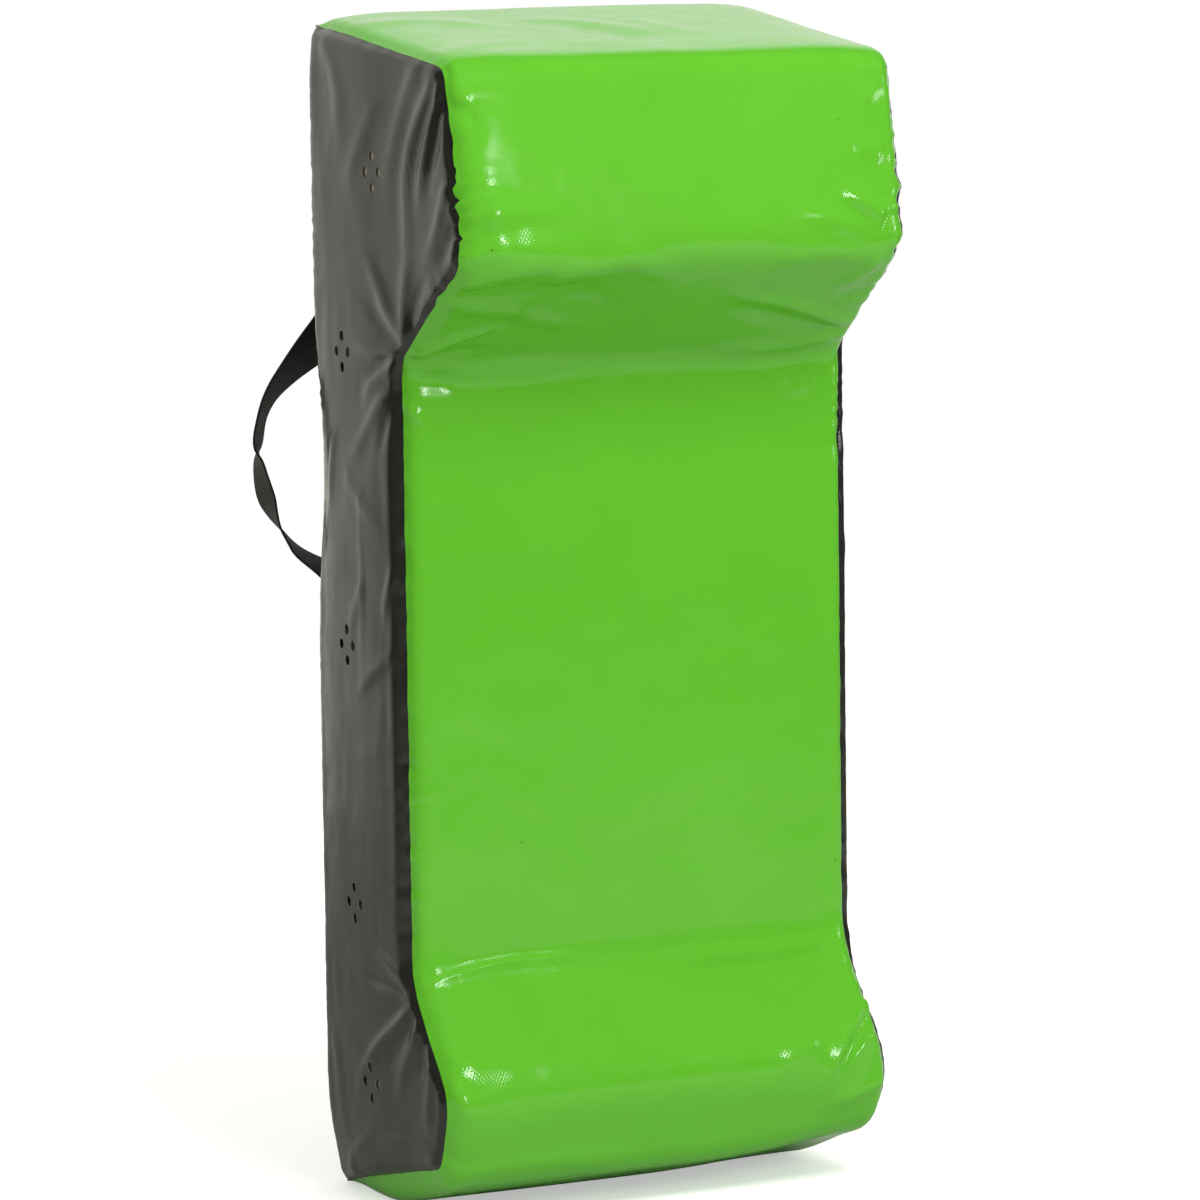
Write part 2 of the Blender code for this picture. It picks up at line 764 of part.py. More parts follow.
def slider_foot() -> float:
    """Where the slider's lower end rests: just above the lower end tab's hem."""
    return ZIP_MARGIN + ZIP_TAB_OVERLAP + TOUCH_GAP


def pull_axis() -> Vector:
    """The middle of the axis that the puller swings about."""
    height = slider_foot() + SLIDER_LENGTH / 2
    return Vector((0.0, slider_outer() + PULLER_CLEARANCE + PULLER_THICKNESS / 2, height))


def make_slider() -> None:
    """The slider: two plates joined by a divider, lips round the teeth, and a bridge for the puller."""
    middle = chain_middle()
    half_depth = slider_outer() - middle
    foot = slider_foot()
    head = foot + SLIDER_LENGTH
    shape = box_shape(
        Vector((-SLIDER_WIDTH / 2, middle - half_depth, foot)),
        Vector((SLIDER_WIDTH / 2, middle + half_depth, head)),
    )
    round_off(shape, through_edges(shape, half_depth), SLIDER_ROUNDING)
    axis = pull_axis()
    slider = add_part("zip_slider", shape, ZIP_METAL, Vector((0.0, middle, axis.z)))
    divider = SLIDER_DIVIDER_WIDTH / 2
    room = ZIP_ROW_THICKNESS / 2 + SLIDER_CLEARANCE
    slit = ZIP_TAPE_THICKNESS / 2 + SLIDER_CLEARANCE
    wall = SLIDER_WIDTH / 2 - SLIDER_LIP
    beyond = SLIDER_WIDTH
    for name, side in (("left", -1), ("right", 1)):
        for label, reach, half in (("teeth_way", wall, room), ("tape_way", beyond, slit)):
            edges = sorted((side * divider, side * reach))
            low = Vector((edges[0], middle - half, foot - beyond))
            high = Vector((edges[1], middle + half, head + beyond))
            boolean(slider, add_cutter(f"{label}_{name}", box_shape(low, high)), "DIFFERENCE")
    low = Vector((-2 * divider, middle - room, foot + SLIDER_DIVIDER_LENGTH))
    high = Vector((2 * divider, middle + room, head + beyond))
    boolean(slider, add_cutter("joined_way", box_shape(low, high)), "DIFFERENCE")
    inner = BRIDGE_LENGTH / 2 - BRIDGE_WALL
    roof = slider_outer() + 2 * PULLER_CLEARANCE + PULLER_THICKNESS
    low = Vector((-BRIDGE_WIDTH / 2, slider_outer() - SLIDER_PLATE / 2, axis.z - BRIDGE_LENGTH / 2))
    high = Vector((BRIDGE_WIDTH / 2, roof + BRIDGE_ROOF, axis.z + BRIDGE_LENGTH / 2))
    boolean(slider, add_cutter("bridge", box_shape(low, high)), "UNION")
    low = Vector((-BRIDGE_WIDTH, slider_outer(), axis.z - inner))
    high = Vector((BRIDGE_WIDTH, roof, axis.z + inner))
    boolean(slider, add_cutter("bridge_eye", box_shape(low, high)), "DIFFERENCE")


def make_puller() -> None:
    """The puller: a plate with a window, whose top bar turns inside the slider's bridge."""
    axis = pull_axis()
    half = PULLER_THICKNESS / 2
    low = axis + Vector((-PULLER_WIDTH / 2, -half, half - PULLER_LENGTH))
    high = axis + Vector((PULLER_WIDTH / 2, half, half))
    shape = box_shape(low, high)
    corners = [edge for edge in through_edges(shape, half) if edge.verts[0].co.z < axis.z - half]
    round_off(shape, corners, PULLER_ROUNDING)
    puller = add_part("zip_puller", shape, ZIP_METAL, axis)
    low = axis + Vector((-PULLER_WINDOW_WIDTH / 2, -2 * half, -half - PULLER_WINDOW_LENGTH))
    high = axis + Vector((PULLER_WINDOW_WIDTH / 2, 2 * half, -half))
    boolean(puller, add_cutter("puller_window", box_shape(low, high)), "DIFFERENCE")


def make_zip_tabs() -> None:
    """The hemmed tabs sewn over both ends of the zip."""
    lower = ZIP_MARGIN + ZIP_TAB_OVERLAP - ZIP_TAB_HEIGHT / 2
    upper = zip_top() - ZIP_TAB_OVERLAP + ZIP_TAB_HEIGHT / 2
    for name, height in (("zip_lower_tab", lower), ("zip_upper_tab", upper)):
        size = Vector((ZIP_TAB_WIDTH, ZIP_TAB_HEIGHT))
        make_back_patch(name, Vector((0.0, 0.0, height)), size, GREY_PVC)


def make_back_patch(name: str, centre: Vector, size: Vector, finish: Finish) -> None:
    """A flat round-cornered piece sewn onto the back cover, drawn as a filled outline."""
    corner = PATCH_CORNER
    curve = bpy.data.curves.new(name, "CURVE")
    curve.dimensions = "2D"
    curve.fill_mode = "BOTH"
    curve.extrude = PATCH_THICKNESS / 2
    points = []
    for quarter in range(4):
        turn_x = 1 if quarter in (0, 3) else -1
        turn_y = 1 if quarter in (0, 1) else -1
        for step in range(PATCH_CORNER_STEPS + 1):
            angle = (quarter + step / PATCH_CORNER_STEPS) * math.pi / 2
            x = turn_x * (size.x / 2 - corner) + corner * math.cos(angle)
            y = turn_y * (size.y / 2 - corner) + corner * math.sin(angle)
            points.append((x, y))
    spline = curve.splines.new("POLY")
    spline.points.add(len(points) - 1)
    for point, spot in zip(spline.points, points):
        point.co = (*spot, 0.0, 1.0)
    spline.use_cyclic_u = True
    patch = bpy.data.objects.new(name, curve)
    patch.rotation_euler = (math.pi / 2, 0.0, 0.0)
    patch.location = Vector((centre.x, patch_outer() - PATCH_THICKNESS / 2, centre.z))
    PARTS.objects.link(patch)
    curve.materials.append(new_material(name, finish))


def patch_outer() -> float:
    """Where the outer face of a piece sewn onto the back cover stands along Y."""
    return back_face() + TOUCH_GAP + PATCH_THICKNESS


# The handles


def handle_offset(side: int) -> float:
    """Where a handle stands across the pad."""
    return side * (SEAM_WIDTH / 2 - HANDLE_INSET)


def handle_top() -> float:
    """The height of a loop's upper end."""
    return seam_top() - HANDLE_DROP


def handle_axis(side: int) -> Vector:
    """The middle of the upright axis that a handle flops about."""
    height = handle_top() - HANDLE_SPAN / 2
    return Vector((handle_offset(side), back_face() + HANDLE_AXIS_HEIGHT, height))


def loop_centre(side: int, share: float) -> Vector:
    """A point on a handle's middle line, from its upper end to its lower one."""
    flop = math.radians(HANDLE_FLOP_DEGREES)
    bulge = HANDLE_BULGE * smooth_value(HANDLE_BULGE_SHARES, share)
    axis = handle_axis(side)
    run = HANDLE_SPAN - TOUCH_GAP
    height = handle_top() - TOUCH_GAP / 2 - run * share
    return Vector((axis.x + side * bulge * math.sin(flop), axis.y + bulge * math.cos(flop), height))


def strap_shape(steps: int, centre: Path, across: Path) -> bmesh.types.BMesh:
    """A strap along a line, flat across the given direction at each share of its length."""
    nudge = 0.5 / steps

    def place(column: int, row: int, layer: int) -> Vector:
        share = row / steps
        before, after = max(share - nudge, 0.0), min(share + nudge, 1.0)
        along = (centre(after) - centre(before)).normalized()
        if row in (0, steps):
            along = Vector((0.0, 0.0, math.copysign(1.0, along.z)))
        flat = across(share)
        flat = (flat - along * flat.dot(along)).normalized()
        thick = along.cross(flat)
        offset = flat * (column - 0.5) * STRAP_WIDTH + thick * (layer - 0.5) * STRAP_THICKNESS
        return centre(share) + offset

    return slab_shape(1, steps, place)


def make_handle(name: str, side: int) -> None:
    """A webbing handle: two patches, two sewn ends that lift off the back, and the loop between."""

    def twisted(share: float) -> Vector:
        angle = math.radians(smooth_value(HANDLE_TWIST_DEGREES, share))
        return Vector((-side * math.cos(angle), math.sin(angle), 0.0))

    loop = add_part(
        f"handle_{name}_loop",
        strap_shape(STRAP_STEPS, lambda share: loop_centre(side, share), twisted),
        BLACK_WEBBING,
        handle_axis(side),
    )
    shade_smooth(loop)
    for label, toward, end in (("upper", 1, handle_top()), ("lower", -1, handle_top() - HANDLE_SPAN)):
        make_handle_end(f"handle_{name}_{label}_end", side, toward, end)
        middle = end + toward * (STRAP_LIFT_RUN + STRAP_SEWN_LENGTH / 2)
        size = Vector((PATCH_WIDTH, STRAP_SEWN_LENGTH + 2 * PATCH_MARGIN))
        centre = Vector((handle_offset(side), 0.0, middle))
        make_back_patch(f"handle_{name}_{label}_patch", centre, size, GREY_PVC)


def make_handle_end(name: str, side: int, toward: int, end: float) -> None:
    """A sewn strap end that lies flat on its patch, then lifts to the handle's axis."""
    axis = handle_axis(side)
    sewn = patch_outer() + TOUCH_GAP + STRAP_THICKNESS / 2
    length = STRAP_LIFT_RUN + STRAP_SEWN_LENGTH - TOUCH_GAP / 2

    def centre(share: float) -> Vector:
        run = length * share
        lifted = (run - STRAP_SEWN_LENGTH) / (length - STRAP_SEWN_LENGTH)
        ease = smooth_value(((0.0, 0.0), (1.0, 1.0)), min(max(lifted, 0.0), 1.0))
        height = end + toward * (STRAP_LIFT_RUN + STRAP_SEWN_LENGTH - run)
        return Vector((axis.x, sewn + (axis.y - sewn) * ease, height))

    strap = add_part(
        name,
        strap_shape(ROOT_STEPS, centre, lambda share: Vector((1.0, 0.0, 0.0))),
        BLACK_WEBBING,
    )
    shade_smooth(strap)


clear_scene()
PARTS = new_collection("tackle_wedge")
CUTTERS = new_collection("cutters")


def main() -> None:
    """Build the tackle wedge."""
    layers = cover_layers()
    make_front_cover(layers)
    make_side_cover(layers, "side_cover_left", -1)
    make_side_cover(layers, "side_cover_right", 1)
    make_back_cover(layers, "back_cover_left", -1)
    make_back_cover(layers, "back_cover_right", 1)
    make_foam()
    make_zip_chain()
    make_slider()
    make_puller()
    make_zip_tabs()
    make_handle("left", -1)
    make_handle("right", 1)


main()
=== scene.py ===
"""Looks of a tackle wedge: its sewn cover, foam, zip and handles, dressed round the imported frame."""

import logging
import math
from dataclasses import dataclass, field, replace
from enum import Enum
from typing import ClassVar

import bmesh
import bpy
import numpy as np
from mathutils import Matrix, Quaternion, Vector, noise


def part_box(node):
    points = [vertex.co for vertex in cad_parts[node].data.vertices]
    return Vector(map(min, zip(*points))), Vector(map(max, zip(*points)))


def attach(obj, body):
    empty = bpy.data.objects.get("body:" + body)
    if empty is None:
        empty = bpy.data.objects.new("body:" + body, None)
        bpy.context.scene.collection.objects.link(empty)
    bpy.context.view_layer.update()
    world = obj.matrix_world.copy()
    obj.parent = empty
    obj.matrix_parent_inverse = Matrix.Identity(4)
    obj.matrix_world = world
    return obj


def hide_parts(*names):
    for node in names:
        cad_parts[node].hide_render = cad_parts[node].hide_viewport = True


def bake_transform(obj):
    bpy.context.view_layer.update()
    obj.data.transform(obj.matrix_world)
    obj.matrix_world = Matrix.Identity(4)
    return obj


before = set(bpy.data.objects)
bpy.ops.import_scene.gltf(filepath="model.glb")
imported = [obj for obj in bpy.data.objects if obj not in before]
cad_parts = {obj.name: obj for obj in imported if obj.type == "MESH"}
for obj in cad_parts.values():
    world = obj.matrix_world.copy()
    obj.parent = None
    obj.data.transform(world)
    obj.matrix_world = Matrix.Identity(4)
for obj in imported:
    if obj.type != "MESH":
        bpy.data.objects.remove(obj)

logging.basicConfig(level=logging.INFO, format="%(message)s")
log = logging.getLogger("tackle_wedge")

MM = 0.001
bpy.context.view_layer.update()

# How far the back's seams lie behind the origin, and how high the top one lies
BACK_PLACE = 0.070
SEAM_TOP = 0.994
# Where the flat waist starts above the foot and ends under the head, each over a range of heights
WAIST_START = (0.17, 0.25)
WAIST_END = (0.64, 0.74)
# A wave texture's period at scale 1
WAVE_PERIOD = 1 / 3.2


# Small helpers


def linear(code: str) -> tuple[float, float, float, float]:
    """Turn an sRGB hex colour into linear light.

    Args:
        code: Six hex digits.

    Returns:
        Red, green, blue and an alpha of one.
    """
    parts = [int(code[i : i + 2], 16) / 255 for i in (0, 2, 4)]
    light = [c / 12.92 if c <= 0.04045 else ((c + 0.055) / 1.055) ** 2.4 for c in parts]
    return (*light, 1.0)


def add_node(tree: bpy.types.NodeTree, kind: str, inputs: dict | None = None, **settings: object) -> bpy.types.Node:
    """Add a node, set its settings and inputs, and link the inputs that are given as sockets.

    Args:
        tree: The node tree to add to.
        kind: The node's type name.
        inputs: Input name or index to a value or an output socket.
        settings: Attributes of the node itself.

    Returns:
        The new node.
    """
    made = tree.nodes.new(kind)
    for name, value in settings.items():
        setattr(made, name, value)
    for name, value in (inputs or {}).items():
        if isinstance(value, bpy.types.NodeSocket):
            tree.links.new(value, made.inputs[name])
        else:
            made.inputs[name].default_value = value
    return made


def new_material(name: str) -> tuple[bpy.types.Material, bpy.types.NodeTree, bpy.types.NodeInputs]:
    """Make a material with Blender's principled shader.

    Args:
        name: The real material's name.

    Returns:
        The material, its node tree and the shader's inputs.
    """
    material = bpy.data.materials.new(name)
    material.use_nodes = True
    return material, material.node_tree, material.node_tree.nodes["Principled BSDF"].inputs


def link_surface(
    tree: bpy.types.NodeTree, inputs: bpy.types.NodeInputs, colour: bpy.types.NodeSocket,
    rough: bpy.types.Node, bump: bpy.types.Node,
) -> None:
    """Link a colour, the node that gives the roughness and the last bump to a shader's inputs."""
    tree.links.new(colour, inputs["Base Color"])
    tree.links.new(rough.outputs["Result"], inputs["Roughness"])
    tree.links.new(bump.outputs["Normal"], inputs["Normal"])


def select_only(*pieces: bpy.types.Object) -> None:
    """Deselect everything, then select these pieces and make the first one active."""
    bpy.ops.object.select_all(action="DESELECT")
    for piece in pieces:
        piece.select_set(True)
    bpy.context.view_layer.objects.active = pieces[0]


def apply_modifier(piece: bpy.types.Object, kind: str, **settings: object) -> None:
    """Add a modifier with its settings to a piece and apply it."""
    modifier = piece.modifiers.new(kind.lower(), kind)
    for name, value in settings.items():
        setattr(modifier, name, value)
    select_only(piece)
    bpy.ops.object.modifier_apply(modifier=modifier.name)


def place_in_mesh(piece: bpy.types.Object) -> None:
    """Move a piece's place, turn and scale into its mesh."""
    select_only(piece)
    bpy.ops.object.transform_apply(location=True, rotation=True, scale=True)


def join(name: str, pieces: list[bpy.types.Object]) -> bpy.types.Object:
    """Join pieces into one piece with a new name."""
    select_only(*pieces)
    bpy.ops.object.join()
    pieces[0].name = pieces[0].data.name = name
    return pieces[0]


def smooth(piece: bpy.types.Object, degrees: float = 40.0) -> None:
    """Shade a piece smooth, keeping edges sharper than an angle."""
    select_only(piece)
    bpy.ops.object.shade_smooth_by_angle(angle=math.radians(degrees))


def dress(piece: bpy.types.Object, material: bpy.types.Material) -> None:
    """Give a piece one material."""
    piece.data.materials.clear()
    piece.data.materials.append(material)


def grid_piece(name: str, points: np.ndarray, cut: np.ndarray) -> bpy.types.Object:
    """Make a piece of fabric from a grid of points.

    Args:
        name: The piece's name.
        points: Rows by columns by three, in metres.
        cut: Rows by columns by two, each point's place in the flat cut, in metres.

    Returns:
        The piece, whose faces point to the left of its rows.
    """
    rows, columns = points.shape[:2]
    index = np.arange(rows * columns).reshape(rows, columns)
    quads = np.stack([index[:-1, :-1], index[:-1, 1:], index[1:, 1:], index[1:, :-1]], axis=-1)
    mesh = bpy.data.meshes.new(name)
    mesh.from_pydata(points.reshape(-1, 3).tolist(), [], quads.reshape(-1, 4).tolist())
    layer = mesh.uv_layers.new(name="cut")
    flat = cut.reshape(-1, 2)[[loop.vertex_index for loop in mesh.loops]]
    layer.data.foreach_set("uv", flat.astype(np.float32).ravel())
    piece = bpy.data.objects.new(name, mesh)
    bpy.context.scene.collection.objects.link(piece)
    return piece


def get_points(piece: bpy.types.Object) -> np.ndarray:
    """A piece's points as an array."""
    return np.array([v.co for v in piece.data.vertices], float).reshape(-1, 3)


def set_points(piece: bpy.types.Object, points: np.ndarray) -> None:
    """Put a piece's points where an array says."""
    piece.data.vertices.foreach_set("co", points.astype(np.float32).ravel())
    piece.data.update()


def get_normals(piece: bpy.types.Object) -> np.ndarray:
    """The direction out of the surface at each of a piece's points."""
    return np.array([v.normal for v in piece.data.vertices], float).reshape(-1, 3)


def rounded(share: np.ndarray) -> np.ndarray:
    """A crown that leaves a seam steeply and ends level."""
    return 1 - (1 - np.clip(share, 0, 1)) ** 2


def eased(low: float, high: float, value: np.ndarray) -> np.ndarray:
    """Nought below one value, one above another, smooth between them."""
    share = np.clip((value - low) / (high - low), 0, 1)
    return share * share * (3 - 2 * share)


def field_noise(points: np.ndarray, size: float, seed: float) -> np.ndarray:
    """Smooth noise from -1 to 1 at each point, with lumps of a given size."""
    shift = Vector((seed, seed * 1.7, -seed * 0.6))
    return np.array([noise.noise(Vector(p) / size + shift) for p in points])


def nearest_on_line(points: np.ndarray, line: np.ndarray) -> tuple[np.ndarray, np.ndarray, np.ndarray, np.ndarray]:
    """The nearest approach of each point to a line of straight stretches.

    Args:
        points: Points by dimensions.
        line: The line's corners by dimensions.

    Returns:
        Each point's distance, how far along the line its nearest place is from 0 to 1, that place, and the
        stretch that it lies on.
    """
    best = np.full(len(points), np.inf)
    where = np.zeros(len(points))
    nearest = np.zeros_like(points)
    stretch = np.zeros(len(points), int)
    runs = np.linalg.norm(np.diff(line, axis=0), axis=1)
    starts = np.concatenate([[0.0], np.cumsum(runs)])
    for index, run in enumerate(runs):
        if run < 1e-9:
            continue
        along = (line[index + 1] - line[index]) / run
        reach = np.clip((points - line[index]) @ along, 0, run)
        place = line[index] + reach[:, None] * along
        gap = np.linalg.norm(points - place, axis=1)
        nearer = gap < best
        best[nearer] = gap[nearer]
        where[nearer] = ((starts[index] + reach) / starts[-1])[nearer]
        nearest[nearer] = place[nearer]
        stretch[nearer] = index
    return best, where, nearest, stretch


def at_shares(line: np.ndarray, shares: np.ndarray) -> np.ndarray:
    """Points at given shares of a line's length."""
    runs = np.concatenate([[0.0], np.cumsum(np.linalg.norm(np.diff(line, axis=0), axis=1))])
    return np.stack([np.interp(shares * runs[-1], runs, line[:, axis]) for axis in range(line.shape[1])], axis=1)


def copy_of_node(name: str, node: str) -> bpy.types.Object:
    """A piece with the form of a CAD node, its loose triangles merged."""
    piece = bpy.data.objects.new(name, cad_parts[node].data.copy())
    piece.data.name = name
    bpy.context.scene.collection.objects.link(piece)
    select_only(piece)
    bpy.ops.object.mode_set(mode="EDIT")
    bpy.ops.mesh.select_all(action="SELECT")
    bpy.ops.mesh.remove_doubles(threshold=0.00001)
    bpy.ops.mesh.dissolve_limited(angle_limit=math.radians(2))
    bpy.ops.object.mode_set(mode="OBJECT")
    return piece


def repeat(name: str, model: bpy.types.Object, places: list[Matrix]) -> bpy.types.Object:
    """Copy a modelled piece to many places, each with its own mesh, and join the copies."""
    copies = []
    for place in places:
        mesh = model.data.copy()
        mesh.transform(place)
        copy = bpy.data.objects.new(name, mesh)
        bpy.context.scene.collection.objects.link(copy)
        copies.append(copy)
    bpy.data.objects.remove(model)
    return join(name, copies)


def flat_map(piece: bpy.types.Object) -> None:
    """Map a piece that lies flat on the back by its own place, in metres."""
    layer = piece.data.uv_layers.get("cut") or piece.data.uv_layers.new(name="cut")
    for loop in piece.data.loops:
        place = piece.data.vertices[loop.vertex_index].co
        layer.data[loop.index].uv = (place.x, place.z)


# Finishes


class Coat(Enum):
    """How the plastic coat of a cover fabric was finished, with the roughness that this leaves."""

    GLOSS = 0.12
    SATIN = 0.20


@dataclass(frozen=True)
class CoatedFabric:
    """PVC-coated polyester: a knife-coated plastic film over a woven scrim."""

    name: str
    colour: str
    shade: str
    coat: Coat
    weave: float = 2.4 * MM
    weave_depth: float = 0.10 * MM
    weave_turn: float = 38.0
    smear_depth: float = 0.35 * MM
    specks: bool = False

    def build(self) -> bpy.types.Material:
        """Make the material.

        The film gives even colour and a wet gloss, and the scrim under it prints a fine diagonal
        ribbing that shows in the highlights. The threads are about 1 mm apart in the real fabric
        and are drawn 2.4 mm apart, because finer ones don't show at this size.
        """
        material, tree, inputs = new_material(self.name)
        inputs["IOR"].default_value = 1.5
        place = add_node(tree, "ShaderNodeTexCoord")
        cloudy = add_node(
            tree, "ShaderNodeTexNoise", {"Vector": place.outputs["Object"], "Scale": 9.0, "Detail": 3.0}
        )
        tint = add_node(
            tree, "ShaderNodeMix",
            {"Factor": cloudy.outputs["Fac"], 6: linear(self.shade), 7: linear(self.colour)},
            data_type="RGBA",
        )
        colour = tint.outputs[2]
        if self.specks:
            colour = self._specks(tree, place.outputs["Object"], colour)
        smear = add_node(
            tree, "ShaderNodeTexNoise",
            {"Vector": place.outputs["Object"], "Scale": 38.0, "Detail": 4.0, "Roughness": 0.6},
        )
        rough = add_node(
            tree, "ShaderNodeMapRange",
            {"Value": smear.outputs["Fac"], "From Min": 0.3, "From Max": 0.75,
             "To Min": self.coat.value * 0.8, "To Max": self.coat.value * 1.45},
        )
        link_surface(tree, inputs, colour, rough, self._bump(tree, smear))
        return material

    def _specks(
        self, tree: bpy.types.NodeTree, place: bpy.types.NodeSocket, colour: bpy.types.NodeSocket
    ) -> bpy.types.NodeSocket:
        """Scatter a few specks of dirt, each about a millimetre across."""
        cells = add_node(tree, "ShaderNodeTexVoronoi", {"Vector": place, "Scale": 15.0}, feature="F1")
        dot = add_node(
            tree, "ShaderNodeMapRange",
            {"Value": cells.outputs["Distance"], "From Min": 0.010, "From Max": 0.016,
             "To Min": 0.75, "To Max": 0.0},
        )
        mixed = add_node(
            tree, "ShaderNodeMix", {"Factor": dot.outputs["Result"], 6: colour, 7: linear("1c2413")},
            data_type="RGBA",
        )
        return mixed.outputs[2]

    def _bump(self, tree: bpy.types.NodeTree, smear: bpy.types.Node) -> bpy.types.Node:
        """The scrim's ribbing and the film's slight unevenness."""
        cut = add_node(tree, "ShaderNodeUVMap", uv_map="cut")
        turned = add_node(
            tree, "ShaderNodeMapping",
            {"Vector": cut.outputs["UV"], "Rotation": (0.0, 0.0, math.radians(self.weave_turn))},
        )
        ribs = []
        for direction in ("X", "Y"):
            wave = add_node(
                tree, "ShaderNodeTexWave",
                {"Vector": turned.outputs["Vector"], "Scale": WAVE_PERIOD / self.weave,
                 "Distortion": 0.6, "Detail": 1.0},
                bands_direction=direction,
            )
            ribs.append(wave.outputs["Fac"])
        weave = add_node(tree, "ShaderNodeMath", {0: ribs[0], 1: ribs[1]}, operation="MULTIPLY")
        thread = add_node(
            tree, "ShaderNodeBump",
            {"Height": weave.outputs["Value"], "Distance": self.weave_depth, "Strength": 0.5},
        )
        return add_node(
            tree, "ShaderNodeBump",
            {"Height": smear.outputs["Fac"], "Distance": self.smear_depth, "Strength": 0.5,
             "Normal": thread.outputs["Normal"]},
        )


@dataclass(frozen=True)
class PlainFinish:
    """A finish without a weave: its range of colour and roughness, and its grain's size and depth."""

    name: str
    colour: str
    shade: str
    roughness: tuple[float, float]
    grain: float
    depth: float
    metallic: float = 0.0
    sheen: float = 0.0

    def build(self) -> bpy.types.Material:
        """Make the material: one fine grain clouds the colour, dulls the shine and roughens the surface."""
        material, tree, inputs = new_material(self.name)
        inputs["Metallic"].default_value = self.metallic
        inputs["Sheen Weight"].default_value = self.sheen
        place = add_node(tree, "ShaderNodeTexCoord")
        grain = add_node(
            tree, "ShaderNodeTexNoise", {"Vector": place.outputs["Object"], "Scale": 1 / self.grain, "Detail": 3.0}
        )
        tint = add_node(
            tree, "ShaderNodeMix", {"Factor": grain.outputs["Fac"], 6: linear(self.shade), 7: linear(self.colour)},
            data_type="RGBA",
        )
        rough = add_node(
            tree, "ShaderNodeMapRange",
            {"Value": grain.outputs["Fac"], "From Min": 0.3, "From Max": 0.7,
             "To Min": self.roughness[0], "To Max": self.roughness[1]},
        )
        bump = add_node(
            tree, "ShaderNodeBump", {"Height": grain.outputs["Fac"], "Distance": self.depth, "Strength": 0.6}
        )
        link_surface(tree, inputs, tint.outputs[2], rough, bump)
        return material


@dataclass(frozen=True)
class WovenBand:
    """Polypropylene webbing or polyester tape: a close weave, whose ribs are a given pitch apart."""

    name: str
    colour: str
    # The darker colour, painted between the yarns as shade
    shade: str
    rib: float
    depth: float

    def build(self) -> bpy.types.Material:
        """Make the material.

        The yarns are slightly shiny on their crowns, and painted shade darkens the colour between them, so the band
        looks matt black with a faint ribbed glint along its folds.
        """
        material, tree, inputs = new_material(self.name)
        inputs["Sheen Weight"].default_value = 0.04
        inputs["Sheen Roughness"].default_value = 0.4
        cut = add_node(tree, "ShaderNodeUVMap", uv_map="cut")
        ribs = []
        for direction, pitch in (("Y", self.rib), ("X", self.rib * 1.6)):
            wave = add_node(
                tree, "ShaderNodeTexWave",
                {"Vector": cut.outputs["UV"], "Scale": WAVE_PERIOD / pitch, "Distortion": 0.4},
                bands_direction=direction,
            )
            ribs.append(wave.outputs["Fac"])
        weave = add_node(tree, "ShaderNodeMath", {0: ribs[0], 1: ribs[1]}, operation="MULTIPLY")
        # Painted shade: the colour goes darker between the yarns' crowns, where the weave is low
        tint = add_node(
            tree, "ShaderNodeMix", {"Factor": weave.outputs["Value"], 6: linear(self.shade), 7: linear(self.colour)},
            data_type="RGBA",
        )
        rough = add_node(
            tree, "ShaderNodeMapRange", {"Value": weave.outputs["Value"], "To Min": 0.8, "To Max": 0.55}
        )
        bump = add_node(
            tree, "ShaderNodeBump", {"Height": weave.outputs["Value"], "Distance": self.depth, "Strength": 0.7}
        )
        link_surface(tree, inputs, tint.outputs[2], rough, bump)
        return material


# The pad's outline


def waist_share(height: np.ndarray) -> np.ndarray:
    """One along the flat waist, nought at the head and the foot."""
    return eased(*WAIST_START, height) * (1 - eased(*WAIST_END, height))


def seam_grip(seam: np.ndarray) -> np.ndarray:
    """How hard a seam draws the cover in: most along the waist, and not at all at the back's corners."""
    loose, corner_reach = 0.45, 18 * MM
    height, place = seam[:, 2], seam[:, 1]
    from_corner = np.sqrt(np.minimum(height, SEAM_TOP - height) ** 2 + (place - BACK_PLACE) ** 2)
    return (loose + (1 - loose) * waist_share(height)) * eased(0, corner_reach, from_corner)


@dataclass(frozen=True)
class Bulge:
    """A place where the real pad strays from its plain form: its centre, its reach each way, and how it moves."""

    centre: tuple[float, float, float]
    reach: tuple[float, float, float]
    move: tuple[float, float, float]


BULGES: tuple[Bulge, ...] = (
    Bulge((-0.207, -0.190, 0.845), (0.230, 0.060, 0.105), (0.001, -0.007, 0.0)),
    Bulge((-0.207, -0.150, 0.090), (0.050, 0.050, 0.055), (0.0, -0.005, 0.0)),
    Bulge((0.207, -0.150, 0.075), (0.050, 0.050, 0.055), (0.005, -0.004, 0.0)),
    Bulge((-0.211, 0.070, 0.620), (0.030, 0.030, 0.085), (0.007, -0.002, 0.0)),
    Bulge((0.190, -0.130, 0.030), (0.075, 0.070, 0.040), (0.0, 0.002, 0.011)),
    Bulge((0.150, -0.040, 0.000), (0.090, 0.080, 0.030), (0.0, 0.0, 0.003)),
    Bulge((0.100, 0.030, 0.990), (0.150, 0.090, 0.050), (0.0, 0.0, 0.0025)),
    Bulge((0.180, -0.158, 0.105), (0.042, 0.030, 0.032), (0.0, 0.004, -0.0015)),
    Bulge((-0.209, 0.072, 0.000), (0.050, 0.050, 0.050), (0.010, -0.006, 0.0)),
    Bulge((-0.209, 0.072, 0.994), (0.040, 0.040, 0.030), (0.003, 0.0, -0.003)),
)


def strayed(points: np.ndarray) -> np.ndarray:
    """Move points by every bulge that reaches them; cover and foam move alike."""
    moved = points.copy()
    for bulge in BULGES:
        share = (points - np.array(bulge.centre)) / np.array(bulge.reach)
        moved += np.exp(-np.sum(share * share, axis=1))[:, None] * np.array(bulge.move)
    return moved


@dataclass(frozen=True)
class Corner:
    """A corner of an outline, and the length that its bend takes from either side."""

    place: Vector
    bend: float


